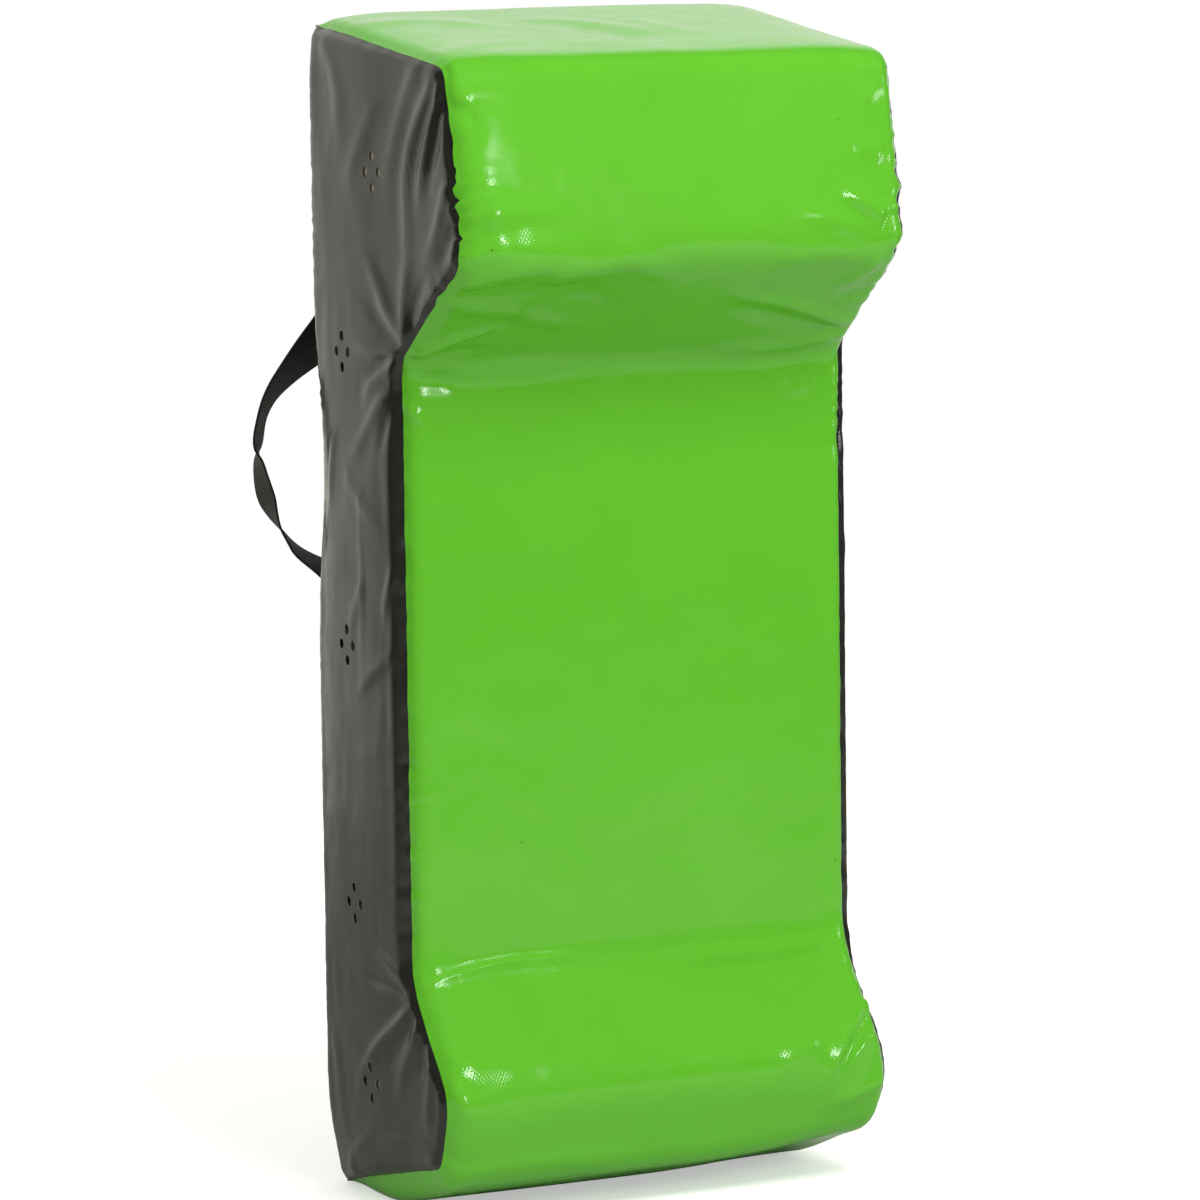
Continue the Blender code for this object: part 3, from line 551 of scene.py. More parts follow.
@dataclass
class PadOutline:
    """The side seam and the line down the pad's middle, in matching rows from the base's back to the top's."""

    seam_width: float = 0.414
    origin_depth: float = BACK_PLACE
    row_step: float = 8.2 * MM
    heel_depth: float = 0.105
    edge_reach: float = 12.8 * MM
    side_swell: float = 8.0 * MM
    side_taut: float = 0.75
    taut_depths: tuple[float, float] = (0.09, 0.19)
    softness: tuple[float, ...] = (0.008, 0.008, -0.006, 0.008, 0.008, 0.008)
    corners: tuple[tuple[float, float], ...] = (
        (0.0, 0.001),
        (0.210, 0.049),
        (0.226, 0.111),
        (0.163, 0.199),
        (0.163, 0.716),
        (0.273, 0.804),
        (0.248, 0.959),
        (0.0, SEAM_TOP),
    )
    edge_bend: float = 7.0 * MM
    heel_bend: float = 20.0 * MM
    bend_limit: float = 0.45
    bend_steps: int = 4
    bends: tuple[float, ...] = (0.008, 0.020, 0.028, 0.008, 0.018, 0.012)
    swells: tuple[float, ...] = (0.018, 0.010, 0.010, 0.009, 0.010, 0.012, 0.008)
    seam: np.ndarray = field(init=False)
    middle: np.ndarray = field(init=False)

    def __post_init__(self) -> None:
        """Work out both lines."""
        main = [Vector(c) for c in self.corners]
        low = [self._at_depth(main[0], main[1], d) for d in (self.edge_reach, self.heel_depth)]
        high = self._at_depth(main[-1], main[-2], self.edge_reach)
        seam = self._all_corners(main, low, high, (0.0,) * len(self.bends))
        crowned = self._shifted(main)
        high = self._at_depth(crowned[-1], crowned[-2], self.edge_reach)
        crowned[0], crowned[-1] = main[0], main[-1]
        low = [Vector((self.edge_reach, 0.0)), Vector((self.heel_depth, 0.0))]
        middle = self._all_corners(crowned, low, high, self.softness)
        runs = [(end.place - start.place).length for start, end in zip(seam, seam[1:])]
        counts = [max(2, round(run / self.row_step)) for run in runs]
        self.seam = self._rows(seam, counts)
        self.middle = self._rows(middle, counts)

    @property
    def half(self) -> float:
        """Half the width between the side seams."""
        return self.seam_width / 2

    @staticmethod
    def _at_depth(start: Vector, end: Vector, depth: float) -> Vector:
        """The point of a straight stretch at a depth."""
        return start.lerp(end, (depth - start.x) / (end.x - start.x))

    def _shifted(self, main: list[Vector]) -> list[Vector]:
        """The corners after each stretch between them has swollen outward."""
        normals = []
        for start, end in zip(main, main[1:]):
            along = (end - start).normalized()
            normals.append(Vector((along.y, -along.x)))
        moved = [main[0] + normals[0] * self.swells[0]]
        for index in range(1, len(main) - 1):
            before, after = normals[index - 1], normals[index]
            turn = before.dot(after)
            pull = (before - after * turn) * self.swells[index - 1]
            pull = pull + (after - before * turn) * self.swells[index]
            moved.append(main[index] + pull / (1 - turn * turn))
        return [*moved, main[-1] + normals[-1] * self.swells[-1]]

    def _all_corners(
        self, main: list[Vector], low: list[Vector], high: Vector, soft: tuple[float, ...]
    ) -> list[Corner]:
        """A line's corners: its main ones, two on the base and one near the top's back edge."""
        bent = [Corner(place, bend + more) for place, bend, more in zip(main[1:-1], self.bends, soft)]
        base = [Corner(main[0], 0.0), Corner(low[0], self.edge_bend), Corner(low[1], self.heel_bend)]
        return [*base, *bent, Corner(high, self.edge_bend), Corner(main[-1], 0.0)]

    def _bend(self, corner: Corner, run: Vector) -> Vector:
        """How far from a corner its bend reaches along a straight stretch."""
        return run.normalized() * min(corner.bend, self.bend_limit * run.length)

    def _rows(self, corners: list[Corner], counts: list[int]) -> np.ndarray:
        """Points along a line: straight steps between bends, and a rounded bend at each corner."""
        points = [corners[0].place]
        for index, steps in enumerate(counts):
            start, end = corners[index], corners[index + 1]
            run = end.place - start.place
            leave = start.place + self._bend(start, run)
            reach = end.place - self._bend(end, run)
            points += [leave.lerp(reach, step / steps) for step in range(1, steps + 1)]
            if index + 2 < len(corners):
                depart = end.place + self._bend(end, corners[index + 2].place - end.place)
                for step in range(1, self.bend_steps + 1):
                    share = step / self.bend_steps
                    points.append(reach.lerp(end.place, share).lerp(end.place.lerp(depart, share), share))
        return np.array(points, float)

    def _row_at(self, corner: tuple[float, float]) -> int:
        """The row of the seam that lies nearest to a corner."""
        return int(np.argmin(np.linalg.norm(self.seam - np.array(corner), axis=1)))

    def split(self) -> tuple[np.ndarray, np.ndarray, np.ndarray]:
        """The side seam in three stretches: under the base, up the front, and over the top."""
        low, high = self._row_at(self.corners[1]), self._row_at(self.corners[-2])
        return self.seam[: low + 1], self.seam[low : high + 1], self.seam[high:]

    def rim(self) -> np.ndarray:
        """The closed line round a side panel."""
        return np.concatenate([self.seam, self.seam[:1]])

    def place(self, x: np.ndarray, depth: np.ndarray, height: np.ndarray) -> np.ndarray:
        """Points in the part's frame from their place across, depth from the back and height."""
        return np.stack([x, self.origin_depth - depth, height], axis=-1)

    def base_height(self, x: np.ndarray, depth: np.ndarray) -> np.ndarray:
        """How high the cover lies over the floor under the base, at places across it and in depth."""
        rows = slice(0, self._row_at(self.corners[1]) + 1)
        edge = np.interp(depth, self.seam[rows, 0], self.seam[rows, 1])
        belly = np.interp(depth, self.middle[rows, 0], self.middle[rows, 1])
        inset = self.half - np.abs(x)
        return edge + (belly - edge) * rounded(inset / self.edge_reach)

    def side_crown(self, depth: np.ndarray, height: np.ndarray) -> np.ndarray:
        """How far a side swells past its seam: less where the head and the foot pull it taut."""
        taut = 1 - waist_share(height)
        return self.side_swell * (1 - self.side_taut * taut * eased(*self.taut_depths, depth))


# Folds in the covers


@dataclass(frozen=True)
class Fold:
    """A crease or ridge in coated fabric, drawn on the panel's flat cut in millimetres, seam end first.

    A sharp fold has a pointed crest, and a crisp one is so narrow that the mesh is made finer along it.
    """

    STARTS: ClassVar[tuple[float, float]] = (-0.05, 0.15)
    FADES: ClassVar[tuple[float, float]] = (0.55, 1.0)

    line: tuple[tuple[float, float], ...]
    width: float
    rise: float
    sharp: bool = False
    crisp: bool = False

    def lift(self, cut: np.ndarray) -> np.ndarray:
        """How far the fold moves each point out of the panel, in metres."""
        line = np.array(self.line, float)
        for _ in range(2):
            cuts = np.stack([0.75 * line[:-1] + 0.25 * line[1:], 0.25 * line[:-1] + 0.75 * line[1:]], axis=1)
            line = np.concatenate([line[:1], cuts.reshape(-1, 2), line[-1:]])
        line *= MM
        margin = (6 if self.sharp else 3) * self.width * MM
        inside = np.all((cut > line.min(axis=0) - margin) & (cut < line.max(axis=0) + margin), axis=1)
        moved = np.zeros(len(cut))
        gap, along, _, _ = nearest_on_line(cut[inside], line)
        share = gap / (self.width * MM)
        shape = np.exp(-share) if self.sharp else np.exp(-share * share)
        moved[inside] = shape * eased(*self.STARTS, along) * (1 - eased(*self.FADES, along))
        return self.rise * MM * moved


# The green cover's folds: how far from the middle, and how far round the outline from the base's back edge.
# The base reaches to about 210, the foot to 380, the waist to 900, the slope to 1040, the head to 1190.
FRONT_FOLDS: tuple[Fold, ...] = (
    Fold(((-204, 1007), (-184, 1024), (-153, 1030), (-112, 1032), (-83, 1035)), 9, 2.6),
    Fold(((-202, 998), (-178, 1006), (-135, 1011), (-79, 1013)), 9, -2),
    Fold(((-201, 993), (-188, 983), (-152, 980), (-102, 959), (-54, 943)), 10, 1.8),
    Fold(((-135, 1011), (-107, 1028), (-76, 1030), (-57, 1036), (-35, 1029), (5, 1016)), 9, 2.4),
    Fold(((-156, 939), (-134, 967), (-114, 1001), (-88, 1008), (-35, 977)), 8, -1.8),
    Fold(((-204, 1068), (-189, 1067), (-157, 1071), (-109, 1064)), 9, 1.2),
    Fold(((-205, 1032), (-199, 1041), (-173, 1045), (-132, 1042), (-76, 1042)), 8, 1.6),
    Fold(((-206, 1047), (-196, 1049), (-173, 1051), (-145, 1050)), 7, -1.4),
    Fold(((-202, 1191), (-194, 1192)), 3, 1, True),
    Fold(((-205, 1180), (-202, 1181), (-196, 1182)), 3, 1, True),
    Fold(((-204, 1165), (-198, 1166), (-188, 1166)), 3.5, 1.2, True),
    Fold(((-203, 1156), (-194, 1153), (-185, 1152)), 7, -1.6),
    Fold(
        (
            (-185, 1165), (-178, 1152), (-175, 1142), (-181, 1126),
            (-186, 1110), (-180, 1093), (-180, 1080), (-189, 1066),
        ),
        13, 0.5,
    ),
    Fold(((-184, 1090), (-179, 1066), (-174, 1046), (-176, 1024)), 12, 1.6),
    Fold(((-205, 902), (-196, 919), (-180, 940), (-159, 950), (-127, 948)), 6, 2.4),
    Fold(((-204, 900), (-193, 907), (-174, 919), (-138, 919)), 5, -1.6),
    Fold(((-205, 900), (-193, 900), (-165, 898), (-109, 899), (-37, 899)), 5, 2),
    Fold(((-204, 899), (-197, 895), (-185, 895), (-157, 894)), 6, -1.8),
    Fold(((-205, 896), (-202, 895), (-196, 893)), 3, 1.4, True),
    Fold(((-205, 873), (-201, 870), (-198, 859)), 6, 1.6),
    Fold(((186, 1053), (170, 1060), (154, 1072), (143, 1083)), 8, 2.4),
    Fold(((205, 1048), (184, 1047), (165, 1052), (148, 1064), (134, 1069)), 8, -2.2),
    Fold(((203, 1041), (180, 1043), (162, 1048), (140, 1050), (118, 1058), (89, 1058)), 8, 2),
    Fold(((202, 1033), (177, 1038), (151, 1042), (118, 1047)), 9, -1.8),
    Fold(((200, 1031), (172, 1032), (134, 1034), (91, 1032), (55, 1032)), 9, 1.8),
    Fold(((187, 1108), (171, 1114), (153, 1113)), 9, 1.2),
    Fold(((196, 924), (171, 943), (144, 958), (111, 975), (76, 981), (40, 999)), 8, 2.2),
    Fold(((196, 921), (171, 925), (136, 940), (91, 962), (51, 971)), 9, -1.8),
    Fold(((199, 913), (177, 911), (149, 905), (113, 904), (58, 903)), 7, 2.2),
    Fold(((186, 1030), (176, 1016), (164, 999), (148, 994)), 8, 1.6),
    Fold(((194, 982), (176, 980), (158, 969)), 8, -1.4),
    Fold(((197, 1184), (182, 1183), (167, 1182)), 7, 1.4),
    Fold(((201, 1175), (188, 1171), (176, 1160), (167, 1146)), 8, 1),
    Fold(((178, 881), (155, 877), (133, 868)), 9, 1),
    Fold(((-191, 377), (-163, 385), (-130, 391), (-99, 391), (-60, 389), (-21, 389)), 6, 1.2),
    Fold(((-199, 370), (-188, 378), (-163, 386), (-130, 392), (-85, 392)), 2.4, 0.3, crisp=True),
    Fold(((-186, 383), (-161, 391), (-130, 396), (-99, 396), (-44, 395)), 9, -0.9),
    Fold(((200, 371), (166, 365), (128, 361), (87, 361), (33, 356), (-7, 355)), 8, -2.2),
    Fold(((201, 373), (168, 371), (119, 372), (63, 373), (15, 374)), 8, 1.6),
    Fold(((202, 370), (185, 361), (160, 348), (124, 332)), 8, 1.4),
    Fold(((-202, 297), (-189, 302), (-175, 292), (-148, 292), (-101, 293), (-62, 292), (-19, 291)), 7, 1.2),
    Fold(((-204, 288), (-189, 285), (-172, 288), (-143, 284)), 8, -0.9),
    Fold(((204, 324), (187, 298), (168, 284), (154, 271), (145, 251)), 7, 1.8),
    Fold(((196, 315), (187, 299), (168, 284), (154, 270), (143, 243)), 2.4, 0.9, crisp=True),
    Fold(((200, 305), (180, 287), (165, 275), (153, 257)), 6, -2),
    Fold(((200, 292), (184, 282), (172, 273), (160, 263)), 6, 1.4),
    Fold(((196, 290), (184, 282), (172, 273), (155, 258)), 2.4, 0.7, crisp=True),
    Fold(((203, 259), (186, 252), (171, 245), (147, 240)), 7, 1.4),
    Fold(((144, 289), (126, 284), (112, 276), (99, 269)), 8, 1.4),
    Fold(((-204, 397), (-202, 383), (-202, 369)), 5, 1.4),
    Fold(((-206, 385), (-199, 385), (-190, 383)), 5, -1.4),
    Fold(((-206, 286), (-198, 281), (-191, 270), (-192, 254)), 7, 1.4),
    Fold(((-202, 213), (-174, 220), (-124, 220), (-69, 220), (-6, 219)), 8, 1.4),
    Fold(((-198, 206), (-176, 216), (-122, 216), (-43, 215)), 8, -1.4),
    Fold(((-201, 1363), (-171, 1365), (-136, 1365), (-110, 1345), (-79, 1315)), 17, 1.0),
    Fold(((-58, 1356), (-20, 1346), (8, 1315), (33, 1280), (62, 1259)), 15, 0.9),
    Fold(((-31, 1309), (-10, 1281), (10, 1251), (41, 1240)), 14, -0.8),
    Fold(((37, 1344), (49, 1310), (63, 1276), (87, 1251)), 15, 0.8),
    Fold(((-206, 1208), (-174, 1223), (-133, 1249), (-97, 1250)), 14, 0.8),
)

# The left side cover's folds: how deep from the back, and how high; the right side has every second one
SIDE_FOLDS: tuple[Fold, ...] = (
    Fold(((245, 955), (244, 936), (228, 907), (214, 879), (207, 851), (200, 819)), 7, 3),
    Fold(((248, 951), (249, 932), (240, 905), (226, 876), (218, 848)), 6, -2.6),
    Fold(((242, 955), (226, 932), (200, 907), (186, 878), (184, 844), (187, 800), (181, 762)), 8, 2.6),
    Fold(((243, 954), (237, 935), (215, 910), (199, 882), (192, 850)), 6, -2.2),
    Fold(((216, 963), (192, 941), (175, 912), (158, 878), (146, 836)), 9, 2),
    Fold(((140, 934), (113, 898), (94, 876), (78, 847)), 9, 1.6),
    Fold(((254, 911), (258, 880), (264, 859)), 5, -2),
    Fold(((257, 868), (245, 846), (233, 821), (209, 789)), 7, 2),
    Fold(((264, 837), (254, 815), (231, 796)), 6, -1.8),
    Fold(((29, 986), (66, 948), (72, 907), (63, 865)), 10, 1.2),
    Fold(((183, 734), (175, 755), (181, 781), (191, 813)), 7, 2.4),
    Fold(((182, 733), (193, 753), (204, 776), (224, 795)), 6, -2.2),
    Fold(((179, 730), (155, 751), (139, 773), (122, 797), (100, 816)), 7, 2.6),
    Fold(((177, 729), (147, 741), (123, 759), (98, 777)), 6, -2),
    Fold(((170, 722), (143, 724), (107, 726), (79, 735)), 6, 1.8),
    Fold(((165, 718), (154, 710), (121, 695), (101, 675)), 7, 2.2),
    Fold(((168, 720), (154, 718), (129, 710), (107, 699)), 5, -1.8),
    Fold(((155, 693), (130, 673), (102, 644), (65, 619)), 7, 2),
    Fold(((159, 686), (148, 663), (133, 635)), 6, -1.6),
    Fold(((106, 610), (103, 576), (105, 531), (102, 477), (102, 423)), 2.5, 1.2, True),
    Fold(((74, 619), (94, 606), (118, 589), (149, 576)), 5, 1.4),
    Fold(((160, 550), (153, 535), (142, 511), (145, 489)), 5, 1.4),
    Fold(((107, 531), (90, 506), (76, 478)), 6, 1.2),
    Fold(((52, 656), (46, 637), (42, 609), (38, 578)), 5, 1.6),
    Fold(((157, 475), (131, 461), (108, 447), (85, 429)), 5, 1.2),
    Fold(((170, 188), (153, 205), (129, 215), (109, 223)), 6, 2.2),
    Fold(((171, 186), (144, 195), (107, 196), (74, 195)), 6, -1.8),
    Fold(((175, 179), (150, 162), (114, 139), (83, 109), (69, 77)), 7, 2.6),
    Fold(((176, 178), (162, 160), (138, 136), (125, 112)), 6, -2.2),
    Fold(((181, 170), (173, 148), (154, 121), (145, 91)), 7, 2),
    Fold(((189, 161), (189, 140), (178, 114)), 6, -1.6),
    Fold(((203, 142), (201, 121), (194, 92), (201, 65)), 7, 1.8),
    Fold(((209, 52), (192, 64), (142, 62), (92, 49)), 8, 1.4),
    Fold(((38, 14), (67, 41), (101, 62), (111, 85)), 7, 1.4),
    Fold(((22, 142), (37, 108), (40, 72), (41, 36)), 8, 1.2),
)

# The groove that the zip's hem leaves in a back half, drawn for the right one: how far across, and how high
HEM_GROOVE: Fold = Fold(((10.0, 60.0), (10.0, 500.0), (10.0, 934.0)), 1.6, -0.5)


# Where the waist lets the cover move freely, over two ranges of heights; past them it is held taut
SLACK_START = (0.20, 0.28)
SLACK_END = (0.58, 0.68)
# How far the settling cover may press into the foam
FOAM_GIVE = 0.2 * MM
# Where the seams are gathered: height, reach up and down, and strength
GATHERS = ((0.87, 0.10, 1.0), (0.12, 0.08, 0.6), (0.67, 0.05, 0.8))
# The heights between which the puckers fade under the top's corner
CALM_TOP = (0.955, 0.975)
# Soft unevenness of the whole cover: the size of its lumps, seed and height
LUMPS = ((0.110, 1.5, 1.0 * MM), (0.045, 4.5, 0.35 * MM))
# Wrinkles: their size, seed, and share of the panel's crinkle
WRINKLES = ((0.050, 11.0, 1.0), (0.023, 17.0, 0.5))
# The finest wrinkles, which stand as much out as in
CRUMPLE = (0.013, 23.0, 0.3)
# Where the head's seams show the sewing's teeth: their height with its reach, and how far forward they start
TEETH_HEIGHT = (0.83, 0.06)
TEETH_START = (0.12, 0.16)


@dataclass
class CoverPanel:
    """One panel of the cover: sewn along its edges, settled over the foam, creased, and given its thickness."""

    name: str
    points: np.ndarray
    cut: np.ndarray
    sewn: np.ndarray
    inward: np.ndarray
    slack: float = 0.007
    thickness: float = 0.9 * MM
    groove: float = 2.0 * MM
    groove_reach: float = 3.6 * MM
    pucker: float = 1.6 * MM
    pucker_reach: float = 12.0 * MM
    pucker_size: float = 12.0 * MM
    give: float = 5.0 * MM
    taut: float = 0.75
    loft: float = 1.4 * MM
    loft_reach: float = 12.0 * MM
    evening: int = 4
    fold_gain: float = 1.8
    wander: float = 0.4 * MM
    wander_size: float = 18.0 * MM
    wander_reach: float = 14.0 * MM
    gather: float = 6.5 * MM
    teeth_size: float = 9.0 * MM
    teeth_reach: float = 9.0 * MM
    crinkle: float = 0.45 * MM
    crinkle_stretch: float = 1.0
    drift_reach: float = 25.0 * MM
    deepest: tuple[float, float] = (2.5 * MM, 0.5 * MM)
    deep_reach: float = 10.0 * MM
    floor_reach: float = 16.0 * MM
    refined: float = 9.0 * MM
    frames: int = 20
    folds: tuple[Fold, ...] = ()
    flattened: tuple[str, ...] = ()

    def build(self) -> bpy.types.Object:
        """Make the panel.

        Returns:
            The finished piece, not yet dressed.
        """
        piece = grid_piece(self.name, self.points, self.cut)
        self._note(piece)
        self._settle(piece)
        apply_modifier(piece, "SUBSURF", levels=1, render_levels=1, boundary_smooth="PRESERVE_CORNERS")
        self._refine(piece)
        self._crease(piece)
        apply_modifier(piece, "SOLIDIFY", thickness=self.thickness, offset=-1.0, use_rim=True)
        for attribute in ("flat_cut", "seam_pull", "seam_place"):
            piece.data.attributes.remove(piece.data.attributes[attribute])
        smooth(piece, 60.0)
        return piece

    def _note(self, piece: bpy.types.Object) -> None:
        """Store each point's place on the cut, its way into the seam and its nearest place on it."""
        flat = self.cut.reshape(-1, 2)
        edge = self.sewn.reshape(-1, 4)
        columns = {
            "flat_cut": np.column_stack([flat, edge[:, 3]]),
            "seam_pull": self.inward.reshape(-1, 3),
            "seam_place": edge[:, :3],
        }
        for name, values in columns.items():
            attribute = piece.data.attributes.new(name, "FLOAT_VECTOR", "POINT")
            attribute.data.foreach_set("vector", values.astype(np.float32).ravel())

    def _read(self, piece: bpy.types.Object, name: str) -> np.ndarray:
        """Read back what _note stored."""
        values = np.zeros(len(piece.data.vertices) * 3, np.float32)
        piece.data.attributes[name].data.foreach_get("vector", values)
        return values.reshape(-1, 3).astype(float)

    def _settle(self, piece: bpy.types.Object) -> None:
        """Let the fabric settle over the foam: a short cloth simulation, capped and applied."""
        rest, normals = get_points(piece), get_normals(piece)
        rows, columns = self.points.shape[:2]
        index = np.arange(rows * columns).reshape(rows, columns)
        rim = sorted({*index[0], *index[-1], *index[:, 0], *index[:, -1]})
        held = piece.vertex_groups.new(name="sewn")
        held.add([int(i) for i in rim], 1.0, "REPLACE")
        modifier = piece.modifiers.new("settle", "CLOTH")
        fabric = modifier.settings
        fabric.quality = 5
        fabric.mass = 0.6
        fabric.air_damping = 2.0
        fabric.tension_stiffness = fabric.compression_stiffness = 20.0
        fabric.shear_stiffness = 12.0
        fabric.bending_stiffness = 1.2
        fabric.vertex_group_mass = "sewn"
        fabric.shrink_min = fabric.shrink_max = -self.slack
        fabric.use_pressure = True
        fabric.uniform_pressure_force = 4.0
        fabric.effector_weights.gravity = 0.0
        modifier.collision_settings.use_collision = False
        scene = bpy.context.scene
        modifier.point_cache.frame_start, modifier.point_cache.frame_end = 1, self.frames
        for step in range(1, self.frames + 1):
            scene.frame_set(step)
        select_only(piece)
        bpy.ops.object.modifier_apply(modifier=modifier.name)
        scene.frame_set(1)
        moved = get_points(piece) - rest
        length = np.linalg.norm(moved, axis=1, keepdims=True)
        log.info("%s moved by up to %.1f mm", self.name, length.max() / MM)
        moved = moved * self.give / (self.give + length)
        moved = self._soften(moved.reshape(rows, columns, 3)).reshape(-1, 3)
        height = rest[:, 2:]
        moved *= 1 - self.taut * (1 - eased(*SLACK_START, height) * (1 - eased(*SLACK_END, height)))
        sunk = np.sum(moved * normals, axis=1, keepdims=True)
        moved += normals * (np.maximum(sunk, -FOAM_GIVE) - sunk)
        set_points(piece, rest + moved)
        piece.vertex_groups.clear()

    def _soften(self, moved: np.ndarray) -> np.ndarray:
        """Even out the finest ripples, which the coat's stiffness wouldn't let stand."""
        for _ in range(self.evening):
            for axis in (0, 1):
                before, after = np.roll(moved, 1, axis), np.roll(moved, -1, axis)
                evened = 0.25 * before + 0.5 * moved + 0.25 * after
                evened[0], evened[-1], evened[:, 0], evened[:, -1] = moved[0], moved[-1], moved[:, 0], moved[:, -1]
                moved = evened
        return moved

    def _refine(self, piece: bpy.types.Object) -> None:
        """Make the mesh finer along the crisp folds, whose crests are only a few millimetres wide."""
        crisp = [fold for fold in self.folds if fold.crisp]
        if not crisp:
            return
        flat = self._read(piece, "flat_cut")[:, :2]
        gap = np.min([nearest_on_line(flat, np.array(fold.line) * MM)[0] for fold in crisp], axis=0)
        near = gap < self.refined
        select_only(piece)
        bpy.ops.object.mode_set(mode="EDIT")
        bpy.ops.mesh.select_all(action="DESELECT")
        shape = bmesh.from_edit_mesh(piece.data)
        for face in shape.faces:
            face.select_set(all(near[corner.index] for corner in face.verts))
        bmesh.update_edit_mesh(piece.data)
        bpy.ops.mesh.subdivide(number_cuts=2, smoothness=1.0)
        bpy.ops.object.mode_set(mode="OBJECT")

    def _crease(self, piece: bpy.types.Object) -> None:
        """Draw the edges into the seams, pucker them, and add the folds."""
        points, normals = get_points(piece), get_normals(piece)
        flat = self._read(piece, "flat_cut")
        pull = self._read(piece, "seam_pull")
        seam = self._read(piece, "seam_place")
        gap = flat[:, 2]
        wave, lift = self._pucker(seam, gap)
        depth = self.groove * seam_grip(seam) * (1 + 0.6 * wave) * np.exp(-((gap / self.groove_reach) ** 2))
        lift += self._drift(points) * eased(0, self.drift_reach, gap)
        for fold in self.folds:
            lift += self.fold_gain * fold.lift(flat[:, :2])
        at_seam, inside = self.deepest
        deepest = inside + (at_seam - inside) * (1 - eased(0, self.deep_reach, gap))
        lift = np.maximum(lift + self.loft * eased(0, self.loft_reach, gap), -deepest)
        lift *= 0.25 + 0.75 * eased(0, self.floor_reach, points[:, 2])
        points = points + normals * lift[:, None] + pull * depth[:, None] + self._wander(seam, gap)
        points = strayed(self._flatten(points))
        points[:, 2] = np.maximum(points[:, 2], 0.0)
        set_points(piece, points)

    def _pucker(self, seam: np.ndarray, gap: np.ndarray) -> tuple[np.ndarray, np.ndarray]:
        """Gather the cloth along its seams.

        Args:
            seam: Each point's nearest place on the seam.
            gap: Its distance from there.

        Returns:
            The gathers' wave along the seam, and how far each point is lifted by them.
        """
        near = gap < 4 * self.pucker_reach
        wave, coarse = np.zeros(len(seam)), np.zeros(len(seam))
        wave[near] = field_noise(seam[near], self.pucker_size, 3.0)
        coarse[near] = field_noise(seam[near], 5 * self.pucker_size, 8.0)
        gathered = np.zeros(len(seam))
        for height, reach, share in GATHERS:
            gathered += share * np.exp(-(((seam[:, 2] - height) / reach) ** 2))
        strength = np.clip(0.4 + 0.8 * coarse + 0.9 * gathered, 0.15, 2.0)
        strength *= 1 - 0.8 * eased(*CALM_TOP, seam[:, 2])
        pucker = -np.abs(wave) * 2.2 + 0.5
        return wave, self.pucker * strength * pucker * np.exp(-gap / self.pucker_reach) * eased(0, 4 * MM, gap)

    def _drift(self, points: np.ndarray) -> np.ndarray:
        """The cloth's own unevenness: soft lumps, wrinkles and a fine crumple."""
        drift = np.zeros(len(points))
        for size, seed, height in LUMPS:
            drift += field_noise(points, size, seed) * height
        creased = points * np.array([1.0, 1.0, self.crinkle_stretch])
        for size, seed, share in WRINKLES:
            drift -= share * self.crinkle * np.abs(field_noise(creased, size, seed))
        size, seed, share = CRUMPLE
        return drift + share * self.crinkle * (0.3 - np.abs(field_noise(creased, size, seed)))

    def _flatten(self, points: np.ndarray) -> np.ndarray:
        """Hold the cloth flat under the patches sewn to it, and let it rise gently beside them."""
        held = points.copy()
        for node in self.flattened:
            low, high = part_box(node)
            past = np.maximum(np.maximum(np.array(low) - held, held - np.array(high)), 0.0)
            rise = 0.15 * np.hypot(past[:, 0], past[:, 2])
            held[:, 1] = np.minimum(held[:, 1], low.y - 0.1 * MM + rise)
        return held

    def _wander(self, seam: np.ndarray, gap: np.ndarray) -> np.ndarray:
        """How far the seam itself strays from its line, the same for both panels that meet there."""
        near = gap < 40 * MM
        stray, teeth = np.zeros((len(seam), 3)), np.zeros((len(seam), 3))
        for axis, (stray_seed, teeth_seed) in enumerate(((2.0, 12.0), (5.0, 15.0), (9.0, 19.0))):
            stray[near, axis] = field_noise(seam[near], self.wander_size, stray_seed)
            teeth[near, axis] = field_noise(seam[near], self.teeth_size, teeth_seed)
        height, reach = TEETH_HEIGHT
        gathered = np.exp(-(((seam[:, 2] - height) / reach) ** 2)) * eased(*TEETH_START, -seam[:, 1])
        stray *= (self.wander * seam_grip(seam) * np.exp(-gap / self.wander_reach))[:, None]
        return stray + teeth * (self.gather * gathered * np.exp(-gap / self.teeth_reach))[:, None]


# The cover


def edge_marks(steps: int, squeeze: float = 0.5) -> np.ndarray:
    """Shares from 0 to 1, whose spacing is smaller at both ends by the squeeze."""
    share = np.linspace(0, 1, steps + 1)
    return share - squeeze * np.sin(2 * math.pi * share) / (2 * math.pi)


